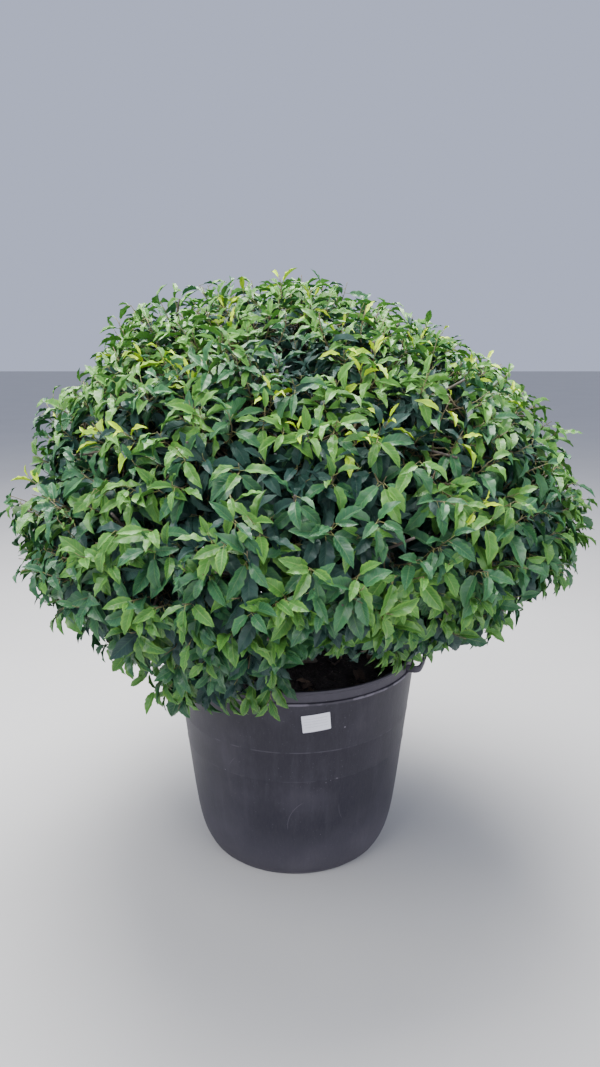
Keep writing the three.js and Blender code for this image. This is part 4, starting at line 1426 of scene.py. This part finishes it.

# %% [markdown]
# The finishes come last. The pot is dark charcoal plastic with a cool cast, matt from years of dust.
# Dust lies on the ledge as a pale line, which is also a painted highlight along the ledge's top, and
# the collar above it is painted paler. Dust thickens towards the foot and clouds the wall, and a few
# scratches cross it, so each of those is a mask that mixes a paler colour into the base.

# %% Pot finish
PLASTIC_LOW = shade(0.014, 0.0145, 0.026)
PLASTIC_HIGH = shade(0.014, 0.012, 0.022)
PLASTIC_GRAIN = shade(0.030, 0.027, 0.038)
# The pale colour of dust, also mixed in as the painted highlight on the ledge and the paler collar.
DUST_AND_HIGHLIGHT = shade(0.19, 0.172, 0.205)
SCRATCHES = [
    # middle across and up, radius, width, and the bearings that the arc runs between
    ((0.0703, 0.184), 0.0900, 0.0013, -0.18, 1.05),
    ((-0.1100, 0.330), 0.0700, 0.0008, 0.30, 0.80),
    ((0.2300, 0.235), 0.1100, 0.0008, -0.45, 0.10),
]
SCRATCH_STRENGTH = 0.3
SPECKS = [
    # across, up, size
    (0.1133, 0.3276, 0.0022),
    (0.0960, 0.3240, 0.0016),
    (0.0835, 0.3190, 0.0017),
    (0.1320, 0.4835, 0.0030),
    (0.0700, 0.1500, 0.0012),
    (-0.1900, 0.3300, 0.0014),
]
SPECK_STRENGTH = 0.9
MOULD_STRENGTHS = (0.24, 0.09)


def front_marks(finish, across, depth, height):
    """The scratches and specks that show on the front of the wall."""
    marks = 0
    for (x, z), radius, width, first, last in SCRATCHES:
        left, up = x - across, height - z
        far = (left * left + up * up) ** 0.5
        turn = finish.add("ShaderNodeMath", {"operation": "ARCTAN2"}, {0: up, 1: left})
        mark = finish.fade(abs(far - radius), width * 0.2, width)
        span = finish.band(turn, first, first + 0.15, last - 0.15, last)
        marks = marks + mark * span * SCRATCH_STRENGTH
    for x, z, size in SPECKS:
        right, up = across - x, height - z
        far = (right * right + up * up) ** 0.5
        marks = marks + finish.fade(far, size * 0.5, size) * SPECK_STRENGTH
    return marks * finish.fade(depth, -0.12, -0.08)


def mould_dust(finish, height):
    """Broken pale lines where dust has caught on the mould's marks."""
    lines = 0
    for line, strength in zip(MOULD_LINES, MOULD_STRENGTHS):
        near = finish.fade(abs(height - line), 0.0005, 0.0024)
        lines = near * finish.step(finish.noise(26, 3), 0.44, 0.6) * strength + lines
    return lines


def make_pot_finish():
    finish = Finish("nursery_plastic", {"Specular IOR Level": 0.4})
    across, depth, height = finish.axes(finish.place())
    cloud = finish.noise(6, 5)
    grain = finish.noise(1, 4, finish.stretched((170, 170, 45)))
    streak = finish.noise(1, 4, finish.stretched((42, 42, 4)))
    speck = finish.noise(240, 2)
    base = finish.mix(finish.step(height, 0.1, 0.45), PLASTIC_LOW, PLASTIC_HIGH)
    base = finish.mix(grain, base, PLASTIC_GRAIN)
    # The ledge's pale line is dust and a painted highlight along its top.
    ledge = finish.band(height, 0.5580, 0.5596, 0.5642, 0.5656)
    ledge = ledge * (finish.step(finish.noise(19, 3), 0.40, 0.52) * 0.8 + 0.2)
    dust_and_highlight = finish.fade(height, 0.0, 0.20) * 0.26 + finish.fade(height, 0.004, 0.014) * 0.3
    dust_and_highlight = dust_and_highlight + finish.step(cloud, 0.42, 0.75) * 0.13
    dust_and_highlight = dust_and_highlight + finish.step(streak, 0.5, 0.72) * 0.05 + finish.step(speck, 0.68, 0.76) * 0.3
    # Above the ledge the collar is painted paler, and the ledge's dust and painted highlight join in.
    dust_and_highlight = dust_and_highlight + finish.step(height, 0.5656, 0.568) * 0.2 + ledge * 0.9 + mould_dust(finish, height)
    dust_and_highlight = finish.clamp(dust_and_highlight + front_marks(finish, across, depth, height))
    finish.give("Base Color", finish.mix(dust_and_highlight, base, DUST_AND_HIGHLIGHT))
    finish.give("Roughness", 0.46 + dust_and_highlight * 0.3 + cloud * 0.1)
    finish.bump(grain * 0.6 + finish.noise(420, 3) * 0.4, 0.0005)
    return finish.material


def dress(pieces, material):
    for piece in pieces:
        piece.data.materials.clear()
        piece.data.materials.append(material)


pot_finish = make_pot_finish()
dress([pot, *handles], pot_finish)
print("pot finish with", len(pot_finish.node_tree.nodes), "nodes")

# %% [markdown]
# The label is smooth white paper under a film, and the faint lilac cast of the sky on it is painted
# into the paper's colour. It stays blank apart from the ruled lines of a write-on label, worked out
# from the card's own UV map, so that they follow its tilt. Its edges have picked up a little grey
# from handling.

# %% Label finish
RULES = (0.30, 0.46, 0.62, 0.78)
RULE_INK = shade(0.42, 0.43, 0.50)
LABEL_GREY = shade(0.50, 0.48, 0.50)


def make_label_finish():
    finish = Finish("blank_label_card", {"Specular IOR Level": 0.5})
    along, up = finish.uv("UVMap")
    rules = 0
    for rule in RULES:
        rules = rules + finish.fade(abs(up - rule), 0.006, 0.016)
    inset = finish.band(along, 0.08, 0.09, 0.9, 0.91)
    fibre = finish.noise(500, 4)
    edge = finish.step(abs(along - 0.5), 0.47, 0.5) + finish.step(abs(up - 0.5), 0.45, 0.5)
    smudge = finish.step(finish.noise(45, 4), 0.5, 0.8)
    # The paper's lilac tint is painted sky light.
    paper = finish.mix(fibre, shade(0.88, 0.87, 0.94), shade(0.95, 0.94, 0.99))
    paper = finish.mix(rules * inset * 0.45, paper, RULE_INK)
    soiled = finish.clamp(edge * 0.22 + smudge * 0.2)
    finish.give("Base Color", finish.mix(soiled, paper, LABEL_GREY))
    finish.give("Roughness", 0.38 + fibre * 0.2)
    finish.bump(fibre, 0.0001)
    return finish.material


dress([label], make_label_finish())
print("label finish with", len(RULES), "ruled lines")

# %% [markdown]
# Potting compost is bark fibre and peat: dark brown, nearly black where it is damp, with paler shreds.
# Two scales of noise make the patches and the shreds. Crumbs share the finish, and the grit is pale.

# %% Compost finishes
COMPOSTS = [
    # pieces, name, dark, middle and pale colour, roughness
    ([soil, crumbs], "potting_compost",
     (0.027, 0.023, 0.026), (0.062, 0.052, 0.053), (0.14, 0.112, 0.098), 0.8),
    ([grit], "pale_grit", (0.30, 0.28, 0.25), (0.48, 0.45, 0.40), (0.62, 0.60, 0.56), 0.65),
]


def make_compost(name, dark, middle, pale, rough):
    finish = Finish(name, {"Specular IOR Level": 0.3})
    patch = finish.noise(14, 5)
    shred = finish.noise(1, 4, finish.stretched((120, 210, 160)))
    colour = finish.mix(patch, shade(*dark), shade(*middle))
    colour = finish.mix(finish.step(shred, 0.56, 0.7) * 0.7, colour, shade(*pale))
    finish.give("Base Color", colour)
    finish.give("Roughness", rough + patch * 0.15)
    finish.bump(shred * 0.7 + finish.noise(330, 3) * 0.3, 0.003)
    return finish.material


for pieces, *facts in COMPOSTS:
    dress(pieces, make_compost(*facts))
print(len(COMPOSTS), "finishes for compost and grit")

# %% [markdown]
# Laurel bark is smooth and grey brown on old wood, with rows of pale pores, and last year's shoots
# are a paler, greener brown. The limbs' relief is in their mesh, so the finish adds colour that runs
# along the wood, by a noise that is stretched upright.

# %% Bark finishes
GREEN_FILM = shade(0.13, 0.15, 0.10)
BARKS = [
    # pieces, name, dark, pale and pore colour, roughness
    (bark_pieces, "trunk_and_bough_bark",
     (0.060, 0.048, 0.038), (0.19, 0.165, 0.14), (0.33, 0.28, 0.22), 0.68),
    (wood, "branch_bark", (0.060, 0.046, 0.040), (0.14, 0.115, 0.10), (0.26, 0.22, 0.18), 0.62),
    (shoots, "young_shoot_bark", (0.095, 0.062, 0.042), (0.19, 0.165, 0.085), (0.28, 0.25, 0.15), 0.5),
]


def make_bark(name, dark, pale, pore, rough):
    finish = Finish(name, {"Specular IOR Level": 0.35})
    run = finish.noise(1, 5, finish.stretched((85, 85, 14)))
    patch = finish.noise(18, 4)
    pores = finish.step(finish.noise(1, 2, finish.stretched((150, 150, 420))), 0.62, 0.7)
    colour = finish.mix(run, shade(*dark), shade(*pale))
    colour = finish.mix(finish.step(patch, 0.5, 0.8) * 0.35, colour, GREEN_FILM)
    colour = finish.mix(pores * 0.6, colour, shade(*pore))
    finish.give("Base Color", colour)
    finish.give("Roughness", rough + run * 0.15)
    finish.bump(run * 0.7 + pores * 0.3, 0.0012)
    return finish.material


for pieces, *facts in BARKS:
    dress(pieces, make_bark(*facts))
print(len(BARKS), "bark finishes")

# %% [markdown]
# A leaf's finish reads its own UV map: across runs from the midrib to the edge, and along from stalk
# to tip. The midrib is pale, the edge of a fresh leaf is yellower, and side veins are pressed in
# lightly. The tone attribute makes each leaf a little lighter or darker than its neighbour, and also
# carries painted light and shade: paler high on the dome, darker low down and inside.

# %% Leaf finishes
LEAF_COLOURS = {
    # dark, light, edge and midrib
    "deep": ((0.013, 0.042, 0.038), (0.033, 0.090, 0.064), (0.045, 0.110, 0.060), (0.05, 0.12, 0.07)),
    "green": ((0.019, 0.080, 0.040), (0.050, 0.170, 0.062), (0.105, 0.260, 0.060), (0.12, 0.25, 0.08)),
    "fresh": ((0.045, 0.155, 0.034), (0.112, 0.300, 0.048), (0.220, 0.430, 0.055), (0.23, 0.41, 0.09)),
    "young": ((0.160, 0.380, 0.014), (0.650, 0.870, 0.016), (0.740, 0.860, 0.020), (0.66, 0.84, 0.06)),
    "dry": ((0.060, 0.042, 0.036), (0.150, 0.104, 0.078), (0.090, 0.062, 0.050), (0.20, 0.14, 0.10)),
}
LEAF_SURFACES = {
    # how far the edge colour shows, and roughness
    "deep": (0.25, 0.36),
    "green": (0.40, 0.26),
    "fresh": (0.50, 0.27),
    "young": (0.40, 0.40),
    "dry": (0.40, 0.70),
}
SIDE_VEINS = 9
VEIN_SLANT = 1.5


def make_leaf(kind):
    dark, light, edge, rib = (shade(*colour) for colour in LEAF_COLOURS[kind])
    edge_share, rough = LEAF_SURFACES[kind]
    finish = Finish(f"{kind}_laurel_leaf", {"Specular IOR Level": 0.38})
    across, along = finish.uv("blade")
    tone = finish.add("ShaderNodeAttribute", {"attribute_name": "tone"}, {}, "Fac")
    mottle = finish.noise(55, 3)
    colour = finish.mix(tone * 0.75 + mottle * 0.25, dark, light)
    margin = finish.step(across, 0.50, 0.95) * edge_share * finish.step(finish.noise(48, 4), 0.40, 0.55)
    colour = finish.mix(margin, colour, edge)
    turn = (along * SIDE_VEINS - across * VEIN_SLANT) * (2 * math.pi)
    wave = finish.add("ShaderNodeMath", {"operation": "SINE"}, {0: turn})
    vein = finish.step(wave, 0.75, 1.0) * finish.fade(across, 0.7, 0.95)
    midrib = finish.fade(across, 0.035, 0.11)
    colour = finish.mix(vein * 0.22, colour, rib)
    finish.give("Base Color", finish.mix(midrib * 0.5, colour, rib))
    finish.give("Roughness", rough + mottle * 0.12)
    finish.bump((1 - vein) * 0.35 + (1 - midrib) * 0.35 + mottle * 0.6, 0.0010)
    return finish.material


leaf_finishes = {kind: make_leaf(kind) for kind in LEAF_KINDS}
for kind, pieces in leaf_pieces.items():
    dress(pieces, leaf_finishes[kind])
dress([fallen], leaf_finishes["dry"])
print(len(leaf_finishes), "leaf finishes")

# %% [markdown]
# Leaf stalks are a plain pale green with a warmer tint in places, too thin to show more than that.

# %% Stalk finish
stalk_finish = Finish("leaf_stalk", {"Specular IOR Level": 0.4})
stalk_tone = stalk_finish.noise(40, 3)
stalk_colour = stalk_finish.mix(stalk_tone, shade(0.30, 0.24, 0.09), shade(0.28, 0.36, 0.11))
stalk_finish.give("Base Color", stalk_colour)
stalk_finish.give("Roughness", 0.42 + stalk_tone * 0.15)
dress(stalks, stalk_finish.material)
print("stalk finish")
